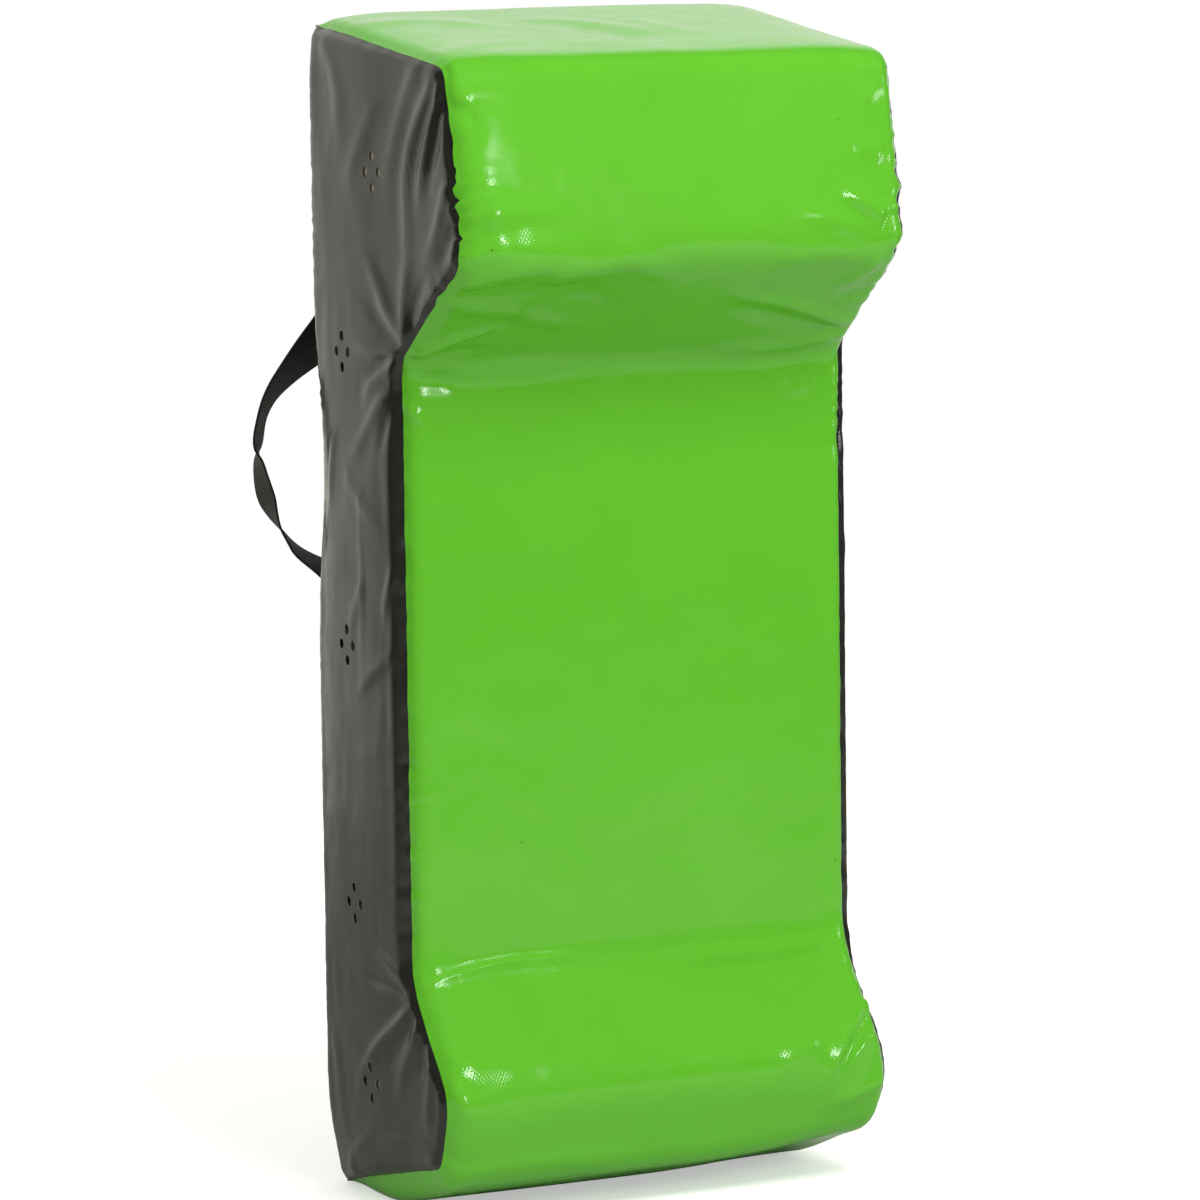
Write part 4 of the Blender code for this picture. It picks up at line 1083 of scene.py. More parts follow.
@dataclass
class Cover:
    """The sewn cover: a green panel from base to top, a charcoal side at each hand, and a zipped back."""

    outline: PadOutline
    green: bpy.types.Material
    charcoal: bpy.types.Material
    cut_edge: bpy.types.Material
    slot_half: float = 6.5 * MM
    slot_ends: tuple[float, float] = (0.057, 0.937)
    back_swell: float = 8.0 * MM
    hem_gap: float = 0.15 * MM
    slot_taper: float = 4.0 * MM
    front_reach: tuple[float, float] = (20.0 * MM, 55.0 * MM)
    head_start: tuple[float, float] = (0.74, 0.80)
    front_edge: float = 30.0 * MM
    front_columns: tuple[int, int] = (7, 39)
    side_steps: tuple[int, int] = (26, 134)
    back_steps: tuple[int, int] = (28, 142)
    vent_radius: float = 4.5 * MM
    vent_spread: tuple[float, float] = (11.0 * MM, 13.0 * MM)
    vent_sides: int = 20
    drill_length: float = 60.0 * MM
    vents: tuple[tuple[float, float], ...] = (
        (0.127, 0.871),
        (0.067, 0.720),
        (0.073, 0.474),
        (0.076, 0.255),
        (0.101, 0.105),
    )

    def build(self) -> None:
        """Make all five panels, dressed and riding on the pad."""
        self._front()
        for word, side in (("left", -1), ("right", 1)):
            self._side(f"side_cover_{word}", side)
            self._back(f"back_cover_{word}", side)

    def _finish(self, piece: bpy.types.Object, node: str) -> None:
        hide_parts(node)
        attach(piece, "pad")
        log.info("panel %s: %d faces", piece.name, len(piece.data.polygons))

    def _front(self) -> None:
        """The green panel that wraps the base, the foot, the waist, the head and the top."""
        line, seam, middle = self.outline, self.outline.seam, self.outline.middle
        width, fine = line.seam_width, self.front_edge
        edge_columns, main_columns = self.front_columns
        x = np.concatenate([
            np.linspace(0, fine, edge_columns + 1)[:-1],
            np.linspace(fine, width - fine, main_columns + 1)[:-1],
            np.linspace(width - fine, width, edge_columns + 1),
        ]) - line.half
        inset = line.half - np.abs(x)
        head = eased(*self.head_start, seam[:, 1])
        reach = self.front_reach[0] + (self.front_reach[1] - self.front_reach[0]) * head
        steep, slow = rounded(inset / line.edge_reach)[None, :], rounded(inset[None, :] / reach[:, None])
        share = 0.5 * steep + 0.5 * slow
        flat = seam[:, None, :] + (middle - seam)[:, None, :] * share[:, :, None]
        across = np.broadcast_to(x, share.shape)
        points = line.place(across, flat[..., 0], flat[..., 1])
        along = np.gradient(seam, axis=0)
        along /= np.linalg.norm(along, axis=1, keepdims=True)
        out = np.stack([np.zeros(len(seam)), -along[:, 1], -along[:, 0]], axis=1)
        run = np.concatenate([[0.0], np.cumsum(np.linalg.norm(np.diff(seam, axis=0), axis=1))])
        cut = np.stack([across, np.broadcast_to(run[:, None], share.shape)], axis=-1)
        ends = np.minimum(run, run[-1] - run)[:, None] + 0 * share
        by_side = inset[None, :] <= ends
        gap = np.where(by_side, inset[None, :], ends)
        depth, height = (np.broadcast_to(seam[:, None, axis], share.shape) for axis in (0, 1))
        seam_points = line.place(np.sign(across) * line.half, depth, height)
        end_points = points.copy()
        first = run < run[-1] / 2
        end_points[first], end_points[~first] = points[0], points[-1]
        place = np.where(by_side[..., None], seam_points, end_points)
        sideways = np.stack([-np.sign(across), 0 * share, 0 * share], axis=-1)
        backward = np.zeros_like(points)
        backward[..., 1] = -1.0
        inward = np.where(by_side[..., None], sideways, backward) - out[:, None, :]
        sewn = np.concatenate([place, gap[..., None]], axis=-1)
        piece = CoverPanel("green_cover", points, cut, sewn, inward, folds=FRONT_FOLDS).build()
        piece.data.materials.append(self.green)
        self._finish(piece, "front_cover")

    def _side(self, name: str, side: int) -> None:
        """A charcoal side panel, gathered into the corners of the outline, with its punched vents."""
        line = self.outline
        under, front, over = line.split()
        columns, rows = (edge_marks(steps) for steps in self.side_steps)
        bottom, top = at_shares(under, columns), at_shares(over[::-1], columns)
        left, right = at_shares(np.array([under[0], over[-1]]), rows), at_shares(front, rows)
        u, v = columns[None, :, None], rows[:, None, None]
        corners = (1 - u) * (1 - v) * bottom[0] + u * (1 - v) * bottom[-1] + (1 - u) * v * top[0] + u * v * top[-1]
        flat = (1 - v) * bottom[None] + v * top[None] + (1 - u) * left[:, None] + u * right[:, None] - corners
        rim = line.rim()
        gap, _, nearest, stretch = nearest_on_line(flat.reshape(-1, 2), rim)
        crown = line.side_crown(flat[..., 0], flat[..., 1]).ravel()
        swell = crown * rounded(gap / (1.4 * crown + 3.0 * MM))
        shape = flat.shape[:2]
        x = side * (line.half + swell.reshape(shape))
        points = line.place(x, flat[..., 0], flat[..., 1])
        place = line.place(np.full(shape, side * line.half), *np.moveaxis(nearest.reshape(*shape, 2), -1, 0))
        along = np.diff(rim, axis=0)[stretch]
        along = (along / np.linalg.norm(along, axis=1, keepdims=True)).reshape(*shape, 2)
        inward = np.stack([np.full(shape, -side), along[..., 1], along[..., 0]], axis=-1)
        sewn = np.concatenate([place, gap.reshape(*shape, 1)], axis=-1)
        folds = SIDE_FOLDS
        if side > 0:
            points, flat, sewn, inward = (array[:, ::-1] for array in (points, flat, sewn, inward))
            folds = tuple(replace(fold, rise=0.5 * fold.rise) for fold in SIDE_FOLDS[1::2])
        panel = CoverPanel(
            name + "_panel", points, flat, sewn, inward, folds=folds, slack=0.010, give=4.0 * MM, fold_gain=1.1,
            loft_reach=8.0 * MM, crinkle=1.1 * MM, crinkle_stretch=0.4,
        )
        piece = panel.build()
        piece.data.materials.append(self.charcoal)
        self._punch(piece, side)
        self._finish(piece, name)

    def _punch(self, piece: bpy.types.Object, side: int) -> None:
        """Punch the vents through a side panel: five groups of four round holes in a diamond."""
        drills = []
        for depth, height in self.vents:
            for turn in range(4):
                angle = turn * math.pi / 2
                y = self.outline.origin_depth - depth + self.vent_spread[0] * math.cos(angle)
                z = height + self.vent_spread[1] * math.sin(angle)
                bpy.ops.mesh.primitive_cylinder_add(
                    vertices=self.vent_sides, radius=self.vent_radius, depth=self.drill_length,
                    location=(side * self.outline.half, y, z), rotation=(0, math.pi / 2, 0),
                )
                drills.append(bpy.context.object)
        drill = join("drill", drills)
        drill.data.materials.append(self.cut_edge)
        apply_modifier(
            piece, "BOOLEAN", object=drill, operation="DIFFERENCE", solver="EXACT", material_mode="TRANSFER"
        )
        bpy.data.objects.remove(drill)

    def _back(self, name: str, side: int) -> None:
        """One half of the back, from its side seam to its hem along the zip."""
        line = self.outline
        low, high = line.corners[0][1], line.corners[-1][1]
        marks, heights = edge_marks(self.back_steps[0], 0.3), low + (high - low) * edge_marks(self.back_steps[1])
        start, end = ((z - self.slot_taper, z + self.slot_taper) for z in self.slot_ends)
        opening = eased(*start, heights) * (1 - eased(*end, heights))
        hem = self.hem_gap + (self.slot_half - self.hem_gap) * opening
        across = line.half + (hem[:, None] - line.half) * marks[None, :]
        height = heights[:, None] + 0 * across
        gaps = np.stack([line.half - across, height - low, high - height], axis=-1)
        nearest = gaps.argmin(axis=-1)
        gap = gaps.min(axis=-1)
        swell = self.back_swell * rounded(gap / line.edge_reach)
        points = line.place(side * across, -swell, height)
        place = line.place(
            side * np.where(nearest == 0, line.half, across), 0 * across,
            np.where(nearest == 0, height, np.where(nearest == 1, low, high)),
        )
        inward = np.stack(
            [np.where(nearest == 0, -side, 0.0), 0 * across - 1.0,
             np.where(nearest == 1, 1.0, np.where(nearest == 2, -1.0, 0.0))], axis=-1,
        )
        sewn = np.concatenate([place, gap[..., None]], axis=-1)
        cut = np.stack([side * across, height], axis=-1)
        if side < 0:
            points, cut, sewn, inward = (array[:, ::-1] for array in (points, cut, sewn, inward))
        word = name.split("_")[-1]
        patches = ("zip_lower_tab", "zip_upper_tab", f"handle_{word}_upper_patch", f"handle_{word}_lower_patch")
        groove = replace(HEM_GROOVE, line=tuple((side * x, z) for x, z in HEM_GROOVE.line))
        panel = CoverPanel(
            name + "_panel", points, cut, sewn, inward, folds=(groove,), give=3.0 * MM, taut=0.0, flattened=patches
        )
        piece = panel.build()
        piece.data.materials.append(self.charcoal)
        self._finish(piece, name)


# The foam


@dataclass
class Foam:
    """The glued foam body inside the cover, which shows through the vents."""

    outline: PadOutline
    material: bpy.types.Material
    seam_give: float = 5.0 * MM
    edge_give: float = 3.0 * MM
    seam_reach: float = 3.5 * MM
    edge_reach: float = 70.0 * MM
    side_layer: float = 8.0 * MM
    floor_gap: float = 2.5 * MM
    floor_depth: float = 0.25
    steps: tuple[float, float, float] = (0.040, 0.024, 0.024)
    parts: tuple[tuple[str, str], ...] = (
        ("foam_board", "foam_back_board"),
        ("foam_core", "foam_core_slab"),
        ("foam_head", "foam_head_block"),
        ("foam_waist", "foam_waist_slab"),
        ("foam_foot", "foam_foot_block"),
    )

    def build(self) -> None:
        """Make the five foam pieces, dressed and riding on the pad."""
        for name, node in self.parts:
            piece = copy_of_node(name, node)
            self._slice(piece)
            self._press_in(piece)
            smooth(piece, 35)
            dress(piece, self.material)
            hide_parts(node)
            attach(piece, "pad")
            log.info("foam %s: %d faces", name, len(piece.data.polygons))

    def _slice(self, piece: bpy.types.Object) -> None:
        """Cut the surface at even steps, so that it can follow the cover's bulges."""
        select_only(piece)
        bpy.ops.object.mode_set(mode="EDIT")
        for axis, step in enumerate(self.steps):
            places = [point[axis] for point in piece.bound_box]
            mark = step * math.ceil(min(places) / step + 0.1)
            while mark < max(places) - 0.1 * step:
                bpy.ops.mesh.select_all(action="SELECT")
                place, out = Vector(), Vector()
                place[axis], out[axis] = mark, 1.0
                bpy.ops.mesh.bisect(plane_co=place, plane_no=out)
                mark += step
        bpy.ops.object.mode_set(mode="OBJECT")

    def _press_in(self, piece: bpy.types.Object) -> None:
        """Press the foam's edges in where the cover's seams bear on them."""
        points, normals = get_points(piece), get_normals(piece)
        seam, half = self.outline.seam, self.outline.half
        lines = [self.outline.place(np.full(len(seam), side * half), seam[:, 0], seam[:, 1]) for side in (-1, 1)]
        lines += [np.array([lines[0][end], lines[1][end]]) for end in (0, -1)]
        lines += [np.array([line[0], line[-1]]) for line in lines[:2]]
        gap = np.min([nearest_on_line(points, line)[0] for line in lines], axis=0)
        edge_give = self.edge_give * (1 - eased(0, self.edge_reach, gap))
        give = np.where(gap < self.seam_reach, self.seam_give, edge_give)
        crown = self.outline.side_crown(self.outline.origin_depth - points[:, 1], points[:, 2])
        taut = (self.outline.side_swell - crown) * (np.abs(points[:, 0]) > half - self.side_layer)
        points[:, 0] -= np.sign(points[:, 0]) * taut
        points -= normals * give[:, None]
        depth = self.outline.origin_depth - points[:, 1]
        floor = self.outline.base_height(points[:, 0], depth) + self.floor_gap
        points[:, 2] = np.where(depth < self.floor_depth, np.maximum(points[:, 2], floor), points[:, 2])
        set_points(piece, strayed(points))


# The zip


@dataclass
class Zip:
    """The back's zip: tapes, interlocked moulded teeth, stops, slider, puller and the hemmed end tabs."""

    tape: bpy.types.Material
    resin: bpy.types.Material
    metal: bpy.types.Material
    charcoal: bpy.types.Material
    thread: bpy.types.Material
    tape_steps: tuple[int, int] = (220, 6)
    wave_rise: float = 0.25 * MM
    wave_length: float = 31.0 * MM
    wave_width: float = 20.0 * MM
    pitch: float = 2.6 * MM
    tooth: tuple[float, float, float] = (4.0 * MM, 2.6 * MM, 1.25 * MM)
    tooth_overlap: float = 0.7 * MM
    tooth_round: float = 0.28 * MM
    root: float = 0.9 * MM
    root_taper: tuple[float, float] = (0.55, 0.8)

    def build(self) -> None:
        """Make every piece of the zip, dressed and riding on its body."""
        made = []
        for word in ("left", "right"):
            made.append(self._tape(word))
            made.append(self._teeth(word))
        for name, node, body, bevel in (
            ("lower_stop", "zip_lower_stop", "pad", 0.7),
            ("upper_stop", "zip_upper_stop", "pad", 0.7),
            ("slider", "zip_slider", "slider", 0.35),
            ("puller", "zip_puller", "puller", 0.35),
        ):
            piece = copy_of_node(name, node)
            apply_modifier(
                piece, "BEVEL", width=bevel * MM, segments=3, limit_method="ANGLE", angle_limit=math.radians(40)
            )
            smooth(piece, 40)
            dress(piece, self.metal)
            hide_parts(node)
            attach(piece, body)
            made.append(piece)
        for node in ("zip_lower_tab", "zip_upper_tab"):
            low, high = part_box(node)
            patch = SewnPatch(node.replace("zip_", ""), node, (low + high) / 2, high.x - low.x, high.z - low.z)
            made += patch.build(self.charcoal, self.thread, "back_cover_left_panel")
        for piece in made:
            log.info("zip %s: %d faces", piece.name, len(piece.data.polygons))

    def _tape(self, word: str) -> bpy.types.Object:
        """One woven tape, with the slight waves that sewing leaves in it."""
        node = f"zip_tape_{word}"
        low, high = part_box(node)
        rows, columns = self.tape_steps
        z = np.linspace(low.z, high.z, rows + 1)[:, None]
        x = np.linspace(high.x, low.x, columns + 1)[None, :]
        wave = self.wave_rise * np.sin(z * 2 * math.pi / self.wave_length + (1 if word == "left" else 2.4))
        y = high.y - 0.1 * MM - np.abs(wave) * np.abs(x) / self.wave_width
        points = np.stack([x + 0 * z, y + 0 * x, z + 0 * x], axis=-1)
        piece = grid_piece(f"tape_{word}", points, np.stack([x + 0 * z, z + 0 * x], axis=-1))
        apply_modifier(piece, "SOLIDIFY", thickness=0.6 * MM, offset=-1.0)
        smooth(piece, 60)
        dress(piece, self.tape)
        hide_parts(node)
        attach(piece, "pad")
        return piece

    def _teeth(self, word: str) -> bpy.types.Object:
        """One row of moulded teeth, each a rounded block with a thinner root that grips the tape."""
        node = f"zip_teeth_{word}"
        low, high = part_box(node)
        side = -1 if word == "left" else 1
        length, deep, thick = self.tooth
        bpy.ops.mesh.primitive_cube_add(size=1)
        tooth = bpy.context.object
        tooth.scale = (length, deep, thick)
        place_in_mesh(tooth)
        bpy.ops.object.mode_set(mode="EDIT")
        shape = bmesh.from_edit_mesh(tooth.data)
        for face in shape.faces:
            face.select = face.normal.x * side > 0.5
        bmesh.update_edit_mesh(tooth.data)
        bpy.ops.mesh.extrude_region_move(TRANSFORM_OT_translate={"value": (side * self.root, 0, 0)})
        bpy.ops.transform.resize(value=(1, *self.root_taper))
        bpy.ops.mesh.select_all(action="SELECT")
        bpy.ops.mesh.bevel(offset=self.tooth_round, segments=1)
        bpy.ops.object.mode_set(mode="OBJECT")
        start = low.z + self.pitch * (0.5 if side < 0 else 1.0)
        count = int((high.z - self.pitch / 2 - start) / self.pitch) + 1
        middle = (low.y + high.y) / 2
        first = Vector((side * (length / 2 - self.tooth_overlap), middle, start))
        places = [Matrix.Translation(first + Vector((0, 0, self.pitch * step))) for step in range(count)]
        piece = repeat(f"teeth_{word}", tooth, places)
        smooth(piece, 30)
        dress(piece, self.resin)
        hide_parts(node)
        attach(piece, "pad")
        return piece


# Sewn patches and stitching

# How much of its pitch a stitch fills, how wide it is and how far it stands up
STITCH_FILL = 0.86
STITCH_WIDTH = 0.75 * MM
STITCH_RISE = 0.55 * MM


def stitches(
    name: str, line: list[Vector], out: Vector, thread: bpy.types.Material, pitch: float = 3.6 * MM
) -> bpy.types.Object:
    """Make a row of lockstitches along a line.

    Args:
        name: The piece's name.
        line: The line's corners.
        out: The direction out of the fabric.
        thread: The thread's material.
        pitch: The length of a stitch.

    Returns:
        The row as one piece, dressed but not yet riding on a body.
    """
    bpy.ops.mesh.primitive_uv_sphere_add(segments=6, ring_count=4, radius=0.5)
    stitch = bpy.context.object
    stitch.rotation_euler = (0, math.pi / 2, 0)
    place_in_mesh(stitch)
    stitch.scale = (pitch * STITCH_FILL, STITCH_WIDTH, STITCH_RISE)
    place_in_mesh(stitch)
    places = []
    for start, end in zip(line, line[1:]):
        run = end - start
        steps = max(1, round(run.length / pitch))
        along = run.normalized()
        turn = Matrix((along, out.cross(along), out)).transposed().to_4x4()
        for step in range(steps):
            places.append(Matrix.Translation(start + run * ((step + 0.5) / steps)) @ turn)
    piece = repeat(name, stitch, places)
    smooth(piece, 80)
    piece.data.materials.append(thread)
    return piece


def rounded_loop(centre: Vector, width: float, height: float, corner: float, y: float) -> list[Vector]:
    """A closed rounded rectangle on the back, as a line of points."""
    line = []
    for quarter in range(4):
        turn_x = 1 if quarter in (0, 3) else -1
        turn_z = 1 if quarter in (0, 1) else -1
        for step in range(4):
            angle = (quarter + step / 3) * math.pi / 2
            x = turn_x * (width / 2 - corner) + corner * math.cos(angle)
            z = turn_z * (height / 2 - corner) + corner * math.sin(angle)
            line.append(Vector((centre.x + x, y, centre.z + z)))
    return [*line, line[0]]


@dataclass
class SewnPatch:
    """A round-cornered piece of cover fabric sewn flat onto the back."""

    name: str
    node: str
    centre: Vector
    width: float
    height: float
    corner: float = 8.0 * MM
    hem: float = 4.5 * MM

    def build(self, fabric: bpy.types.Material, thread: bpy.types.Material, under: str) -> list[bpy.types.Object]:
        """Make the patch and the row of stitches round it.

        Args:
            fabric: The cover fabric.
            thread: The sewing thread.
            under: The piece that the patch is sewn to; not used.

        Returns:
            The patch and its stitches, riding on the pad.
        """
        low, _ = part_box(self.node)
        bpy.ops.mesh.primitive_plane_add(
            size=1, location=(self.centre.x, low.y + 0.1 * MM, self.centre.z), rotation=(-math.pi / 2, 0, 0)
        )
        piece = bpy.context.object
        piece.name = piece.data.name = self.name
        piece.scale = (self.width, self.height, 1)
        place_in_mesh(piece)
        bpy.ops.object.mode_set(mode="EDIT")
        bpy.ops.mesh.select_all(action="SELECT")
        bpy.ops.mesh.bevel(offset=self.corner, segments=5, affect="VERTICES")
        rises = (
            (1.2 * MM, 0.9 * MM),
            (self.hem - 2.0 * MM, 0.15 * MM),
            (0.9 * MM, -0.35 * MM),
            (0.9 * MM, 0.4 * MM),
        )
        for inset, rise in rises:
            bpy.ops.mesh.inset(thickness=inset, depth=0)
            bpy.ops.transform.translate(value=(0, rise, 0))
        bpy.ops.object.mode_set(mode="OBJECT")
        apply_modifier(piece, "SOLIDIFY", thickness=0.3 * MM, offset=1.0)
        smooth(piece, 50)
        flat_map(piece)
        dress(piece, fabric)
        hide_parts(self.node)
        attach(piece, "pad")
        loop = rounded_loop(
            self.centre, self.width - 2 * self.hem, self.height - 2 * self.hem, self.corner - self.hem + 1 * MM,
            low.y + 1.05 * MM,
        )
        row = stitches(self.name + "_stitches", loop, Vector((0, 1, 0)), thread)
        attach(row, "pad")
        return [piece, row]


# The handles


def smooth_value(knots: tuple[tuple[float, float], ...], share: float) -> float:
    """A smooth curve through the knots, level at both ends."""
    slopes = [0.0]
    for before, after in zip(knots, knots[2:]):
        slopes.append((after[1] - before[1]) / (after[0] - before[0]))
    slopes.append(0.0)
    index = max(i for i in range(len(knots) - 1) if knots[i][0] <= share or i == 0)
    (start, low), (end, high) = knots[index], knots[index + 1]
    run = end - start
    t = (share - start) / run
    bend = slopes[index] * t * (1 - t) ** 2 - slopes[index + 1] * t * t * (1 - t)
    return low * (1 + 2 * t) * (1 - t) ** 2 + high * t * t * (3 - 2 * t) + bend * run


@dataclass
class CarryHandle:
    """A webbing handle: one strap sewn down at both ends through a patch, flopped over to its side."""

    word: str
    side: int
    webbing: bpy.types.Material
    charcoal: bpy.types.Material
    thread: bpy.types.Material
    offset: float = 0.150
    top: float = 0.780
    span: float = 0.305
    axis_depth: float = 0.102
    bulge: float = 0.096
    flop: float = 53.0
    width: float = 40.0 * MM
    thickness: float = 2.0 * MM
    lift_run: float = 0.045
    sewn: float = 0.050
    sewn_y: float = 0.0810
    samples: int = 600
    rows: int = 170
    columns: tuple[float, ...] = (-1, -0.965, -0.8, -0.5, -0.2, 0.2, 0.5, 0.8, 0.965, 1)
    turn_step: float = 4.0 * MM
    bulges: tuple[tuple[float, float], ...] = (
        (0, 0), (0.15, 0.28), (0.37, 0.89), (0.58, 0.96), (0.78, 0.66), (0.90, 0.07), (1, 0),
    )
    twists: tuple[tuple[float, float], ...] = (
        (0, 0), (0.19, -2), (0.30, 30), (0.36, 47), (0.41, 54), (0.49, 57), (0.53, 75), (0.58, 84),
        (0.64, 89), (0.68, 82), (0.725, 70), (0.77, 62), (0.82, 42), (0.86, 12), (1, 0),
    )

    def build(self) -> None:
        """Make the strap, its two patches and their stitching, dressed and riding on their bodies."""
        made = [self._strap()]
        panel = f"back_cover_{self.word}_panel"
        for label in ("upper", "lower"):
            node = f"handle_{self.word}_{label}_patch"
            low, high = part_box(node)
            centre = (low + high) / 2
            patch = SewnPatch(node.replace("handle_", ""), node, centre, high.x - low.x, high.z - low.z)
            made += patch.build(self.charcoal, self.thread, panel)
            made.append(self._box_stitch(f"{self.word}_{label}_box_stitch", centre))
        for piece in made:
            log.info("handle %s: %d faces", piece.name, len(piece.data.polygons))

    def _place(self, height: float) -> tuple[Vector, float]:
        """The strap's middle line and twist at a height between the ends of its sewing."""
        bottom = self.top - self.span
        outside = max(height - self.top, bottom - height)
        if outside > 0:
            rise = 1 - min(outside / self.lift_run, 1.0)
            rise = rise * rise * (3 - 2 * rise)
            y = self.sewn_y + (self.axis_depth - self.sewn_y) * rise
            return Vector((self.side * self.offset, y, height)), 0.0
        share = (self.top - height) / self.span
        bulge = self.bulge * smooth_value(self.bulges, share)
        flop = math.radians(self.flop)
        x = self.side * (self.offset + bulge * math.sin(flop))
        y = self.axis_depth + bulge * math.cos(flop)
        return Vector((x, y, height)), smooth_value(self.twists, share)

    def _strap(self) -> bpy.types.Object:
        """The whole strap, from its lower sewn end round the loop to its upper one."""
        reach = self.lift_run + self.sewn
        low, high = self.top - self.span - reach, self.top + reach
        line = [self._place(low + (high - low) * step / self.samples) for step in range(self.samples + 1)]
        path = np.array([place for place, _ in line])
        runs = np.concatenate([[0.0], np.cumsum(np.linalg.norm(np.diff(path, axis=0), axis=1))])
        marks = np.linspace(0, runs[-1], self.rows)
        across_marks = np.array(self.columns) * self.width / 2
        points = np.zeros((len(marks), len(across_marks), 3))
        for row, mark in enumerate(marks):
            before, here, after = (
                Vector([np.interp(mark + step, runs, path[:, axis]) for axis in range(3)])
                for step in (-self.turn_step, 0.0, self.turn_step)
            )
            along = (after - before).normalized()
            angle = math.radians(np.interp(mark, runs, [twist for _, twist in line]))
            flat = Vector((-self.side * math.cos(angle), math.sin(angle), 0.0))
            flat = (flat - along * flat.dot(along)).normalized()
            for column, across in enumerate(across_marks):
                points[row, column] = here + flat * across * self.side
        shape = points.shape[:2]
        cut = np.stack([np.broadcast_to(across_marks, shape), np.broadcast_to(marks[:, None], shape)], axis=-1)
        piece = grid_piece(f"{self.word}_handle_strap", points, cut)
        apply_modifier(piece, "SOLIDIFY", thickness=self.thickness, offset=0.0)
        apply_modifier(
            piece, "BEVEL", width=0.5 * MM, segments=2, limit_method="ANGLE", angle_limit=math.radians(60)
        )
        smooth(piece, 50)
        dress(piece, self.webbing)
        name = f"handle_{self.word}"
        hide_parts(f"{name}_loop", f"{name}_upper_end", f"{name}_lower_end")
        axis = Vector((self.side * self.offset, self.axis_depth, self.top - self.span / 2))
        flop = math.radians(self.flop)
        reach = axis + self.bulge * Vector((self.side * math.sin(flop), math.cos(flop), 0))
        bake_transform(piece)
        return piece

    def _box_stitch(self, name: str, centre: Vector) -> bpy.types.Object:
        """The box and cross of stitches that hold a sewn end."""
        half_x, half_z = self.width / 2 - 4 * MM, self.sewn / 2 - 5 * MM
        y = self.sewn_y + self.thickness / 2 + 0.1 * MM
        corner = [
            Vector((centre.x + a * half_x, y, centre.z + b * half_z)) for a, b in ((-1, -1), (1, -1), (1, 1), (-1, 1))
        ]
        line = [corner[0], corner[1], corner[2], corner[3], corner[0], corner[2]]
        out = Vector((0, 1, 0))
        box = stitches(name, line, out, self.thread)
        cross = stitches(name + "_b", [corner[1], corner[3]], out, self.thread)
        piece = join(name, [box, cross])
        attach(piece, "pad")
        return piece


# The studio


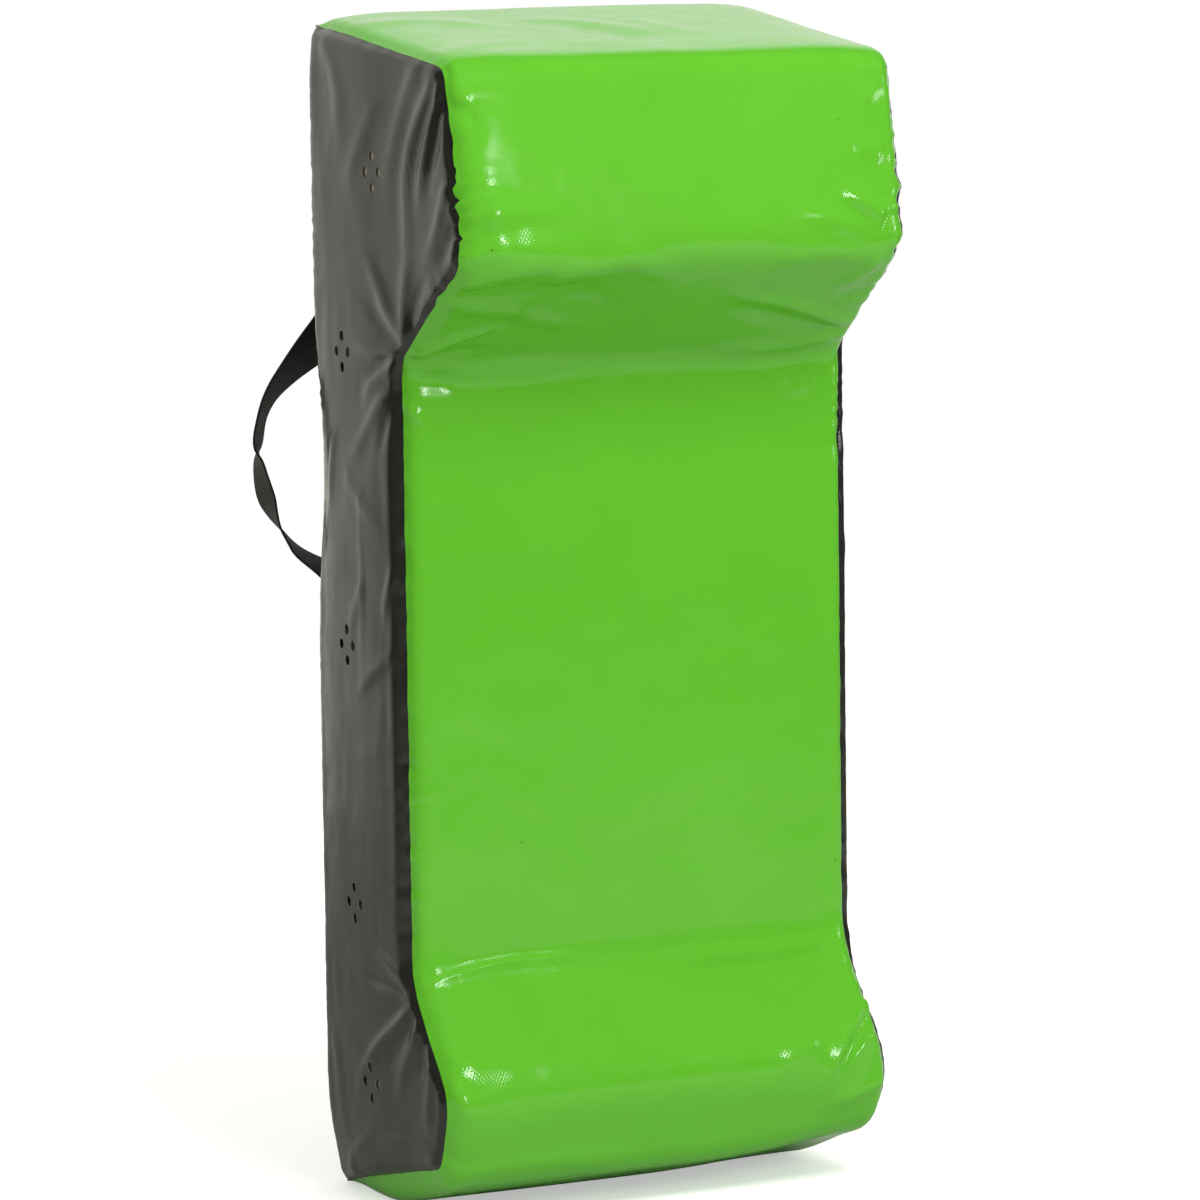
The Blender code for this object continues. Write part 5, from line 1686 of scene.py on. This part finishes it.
@dataclass
class Studio:
    """A white sweep, two small softboxes that the gloss mirrors, two soft lamps, and the photo's camera."""

    aim: Vector = field(default_factory=lambda: Vector((0.0, -0.010, 0.494)))
    azimuth: float = -27.0
    elevation: float = 6.48
    roll: float = 0.771
    distance: float = 5.0
    focal_pixels: float = 5851.5
    centre_pixels: tuple[float, float] = (582.9, 605.3)
    frame_pixels: float = 1200.0
    floor_radius: float = 2.4

    def build(self) -> None:
        """Make the camera, the lights, the world and the floor."""
        self._camera()
        self._lights()
        self._world()
        self._floor()
        bpy.context.scene.view_settings.view_transform = "Standard"

    def _back_to_camera(self) -> Vector:
        """The direction from the object to the camera."""
        a, e = math.radians(self.azimuth), math.radians(self.elevation)
        return Vector((math.sin(a) * math.cos(e), -math.cos(a) * math.cos(e), math.sin(e)))

    def _camera(self) -> None:
        """The camera, turned, rolled and shifted as the photo's was."""
        data = bpy.data.cameras.new("photo_camera")
        data.sensor_width = 36.0
        data.lens = self.focal_pixels * data.sensor_width / self.frame_pixels
        data.shift_x = (self.frame_pixels / 2 - self.centre_pixels[0]) / self.frame_pixels
        data.shift_y = (self.centre_pixels[1] - self.frame_pixels / 2) / self.frame_pixels
        data.clip_end = 60.0
        camera = bpy.data.objects.new("photo_camera", data)
        bpy.context.scene.collection.objects.link(camera)
        back = self._back_to_camera()
        camera.location = self.aim + back * self.distance
        camera.rotation_mode = "QUATERNION"
        turn = (-back).to_track_quat("-Z", "Y")
        camera.rotation_quaternion = turn @ Quaternion((0, 0, 1), -math.radians(self.roll))
        bpy.context.scene.camera = camera

    def _lamp(
        self, name: str, place: tuple[float, float, float], size: tuple[float, float], watts: float, mirrored: bool
    ) -> None:
        """A rectangular softbox aimed at the object, which gloss mirrors or, where flags stand before it, doesn't."""
        data = bpy.data.lights.new(name, "AREA")
        data.shape = "RECTANGLE"
        data.size, data.size_y = size
        data.energy = watts
        lamp = bpy.data.objects.new(name, data)
        bpy.context.scene.collection.objects.link(lamp)
        lamp.visible_glossy = mirrored
        lamp.location = Vector(place)
        lamp.rotation_euler = (self.aim - Vector(place)).to_track_quat("-Z", "Y").to_euler()

    def _lights(self) -> None:
        """A slim strip and a spark at the right, whose streaks the gloss shows, and two soft lamps it doesn't."""
        self._lamp("strip", (0.69, -2.97, 1.40), (0.42, 0.7), 18.0, True)
        self._lamp("spark", (2.3, -1.2, 0.8), (0.40, 0.35), 3.5, True)
        self._lamp("overhead", (0.3, -1.9, 2.7), (1.4, 1.2), 40.0, False)
        self._lamp("left_fill", (-2.4, -1.0, 1.6), (1.2, 1.2), 10.0, False)

    def _world(self) -> None:
        """Even light on surfaces, white behind the object, and a dimmer room on the camera's side in reflections."""
        world = bpy.data.worlds.new("studio")
        bpy.context.scene.world = world
        world.use_nodes = True
        tree = world.node_tree
        tree.nodes.clear()
        path = add_node(tree, "ShaderNodeLightPath")
        way = add_node(tree, "ShaderNodeTexCoord")
        split = add_node(tree, "ShaderNodeSeparateXYZ", {"Vector": way.outputs["Generated"]})
        room = add_node(
            tree, "ShaderNodeMapRange",
            {"Value": split.outputs["Y"], "From Min": 0.38, "From Max": 0.76, "To Min": 0.04, "To Max": 0.97},
            interpolation_type="SMOOTHSTEP",
        )
        sky = add_node(
            tree, "ShaderNodeMapRange",
            {"Value": split.outputs["Z"], "From Min": -0.5, "From Max": 0.7, "To Min": 0.40, "To Max": 0.72},
        )
        lit = add_node(
            tree, "ShaderNodeMix",
            {"Factor": path.outputs["Is Glossy Ray"], 2: sky.outputs["Result"], 3: room.outputs["Result"]},
        )
        clear = add_node(
            tree, "ShaderNodeMath", {0: path.outputs["Is Camera Ray"], 1: path.outputs["Is Transmission Ray"]},
            operation="MAXIMUM",
        )
        level = add_node(tree, "ShaderNodeMix", {"Factor": clear.outputs["Value"], 2: lit.outputs[0], 3: 1.0})
        hue = add_node(
            tree, "ShaderNodeMix", {"Factor": clear.outputs["Value"], 6: linear("f8f8ee"), 7: linear("ffffff")},
            data_type="RGBA",
        )
        shade = add_node(tree, "ShaderNodeBackground", {"Color": hue.outputs[2], "Strength": level.outputs[0]})
        add_node(tree, "ShaderNodeOutputWorld", {"Surface": shade.outputs["Background"]})

    def _floor(self) -> None:
        """A pale round floor that runs into white, and keeps the object's shadow."""
        bpy.ops.mesh.primitive_circle_add(
            vertices=96, radius=self.floor_radius, fill_type="NGON", location=(0, 0, -0.4 * MM)
        )
        floor = bpy.context.object
        floor.name = "studio_floor"
        material = bpy.data.materials.new("matt_white_sweep")
        material.use_nodes = True
        tree = material.node_tree
        tree.nodes.clear()
        path = add_node(tree, "ShaderNodeLightPath")
        paper = add_node(tree, "ShaderNodeBsdfDiffuse", {"Color": linear("f4f4f2")})
        glow = add_node(tree, "ShaderNodeEmission", {"Color": linear("ffffff"), "Strength": 0.45})
        both = add_node(tree, "ShaderNodeAddShader", {0: paper.outputs["BSDF"], 1: glow.outputs["Emission"]})
        dull = add_node(tree, "ShaderNodeBsdfDiffuse", {"Color": linear("d2d2ce")})
        dusk = add_node(tree, "ShaderNodeBsdfDiffuse", {"Color": linear("c9c9c5")})
        mirrored = add_node(
            tree, "ShaderNodeMixShader",
            {"Fac": path.outputs["Is Diffuse Ray"], 1: dusk.outputs["BSDF"], 2: dull.outputs["BSDF"]},
        )
        seen = add_node(
            tree, "ShaderNodeMixShader",
            {"Fac": path.outputs["Is Camera Ray"], 1: mirrored.outputs["Shader"], 2: both.outputs["Shader"]},
        )
        add_node(tree, "ShaderNodeOutputMaterial", {"Surface": seen.outputs["Shader"]})
        floor.data.materials.append(material)


def main() -> None:
    """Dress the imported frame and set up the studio."""
    green = CoatedFabric("gloss_pvc_tarpaulin_green", "62bb2e", "5cb229", Coat.GLOSS, specks=True).build()
    charcoal = CoatedFabric("satin_pvc_tarpaulin_charcoal", "242421", "1f201d", Coat.SATIN).build()
    scrim = PlainFinish("cut_polyester_scrim", "a89f86", "6f6856", (0.7, 0.9), 1.0 * MM, 0.1 * MM).build()
    foam = PlainFinish("polyethylene_foam", "b9b4a6", "8d887a", (0.8, 0.95), 2.0 * MM, 0.4 * MM).build()
    zinc = PlainFinish(
        "nickel_plated_zinc", "b4b4b6", "9a9a9c", (0.22, 0.38), 0.8 * MM, 0.02 * MM, metallic=1.0
    ).build()
    resin = PlainFinish("moulded_acetal", "1c1c1c", "151515", (0.35, 0.5), 1.5 * MM, 0.02 * MM).build()
    thread = PlainFinish(
        "bonded_polyester_thread", "2e2e2d", "1c1c1c", (0.5, 0.7), 0.6 * MM, 0.1 * MM, sheen=0.2
    ).build()
    # Each woven band's second colour is the painted shade between its yarns
    webbing = WovenBand("polypropylene_webbing", "222220", "0e0e0e", 2.2 * MM, 0.35 * MM).build()
    tape = WovenBand("woven_polyester_tape", "1d1d1d", "101010", 1.4 * MM, 0.15 * MM).build()
    outline = PadOutline()
    Foam(outline, foam).build()
    Cover(outline, green, charcoal, scrim).build()
    Zip(tape, resin, zinc, charcoal, thread).build()
    for word, side in (("left", -1), ("right", 1)):
        CarryHandle(word, side, webbing, charcoal, thread).build()
    Studio().build()
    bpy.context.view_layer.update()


if __name__ == "__main__":
    main()
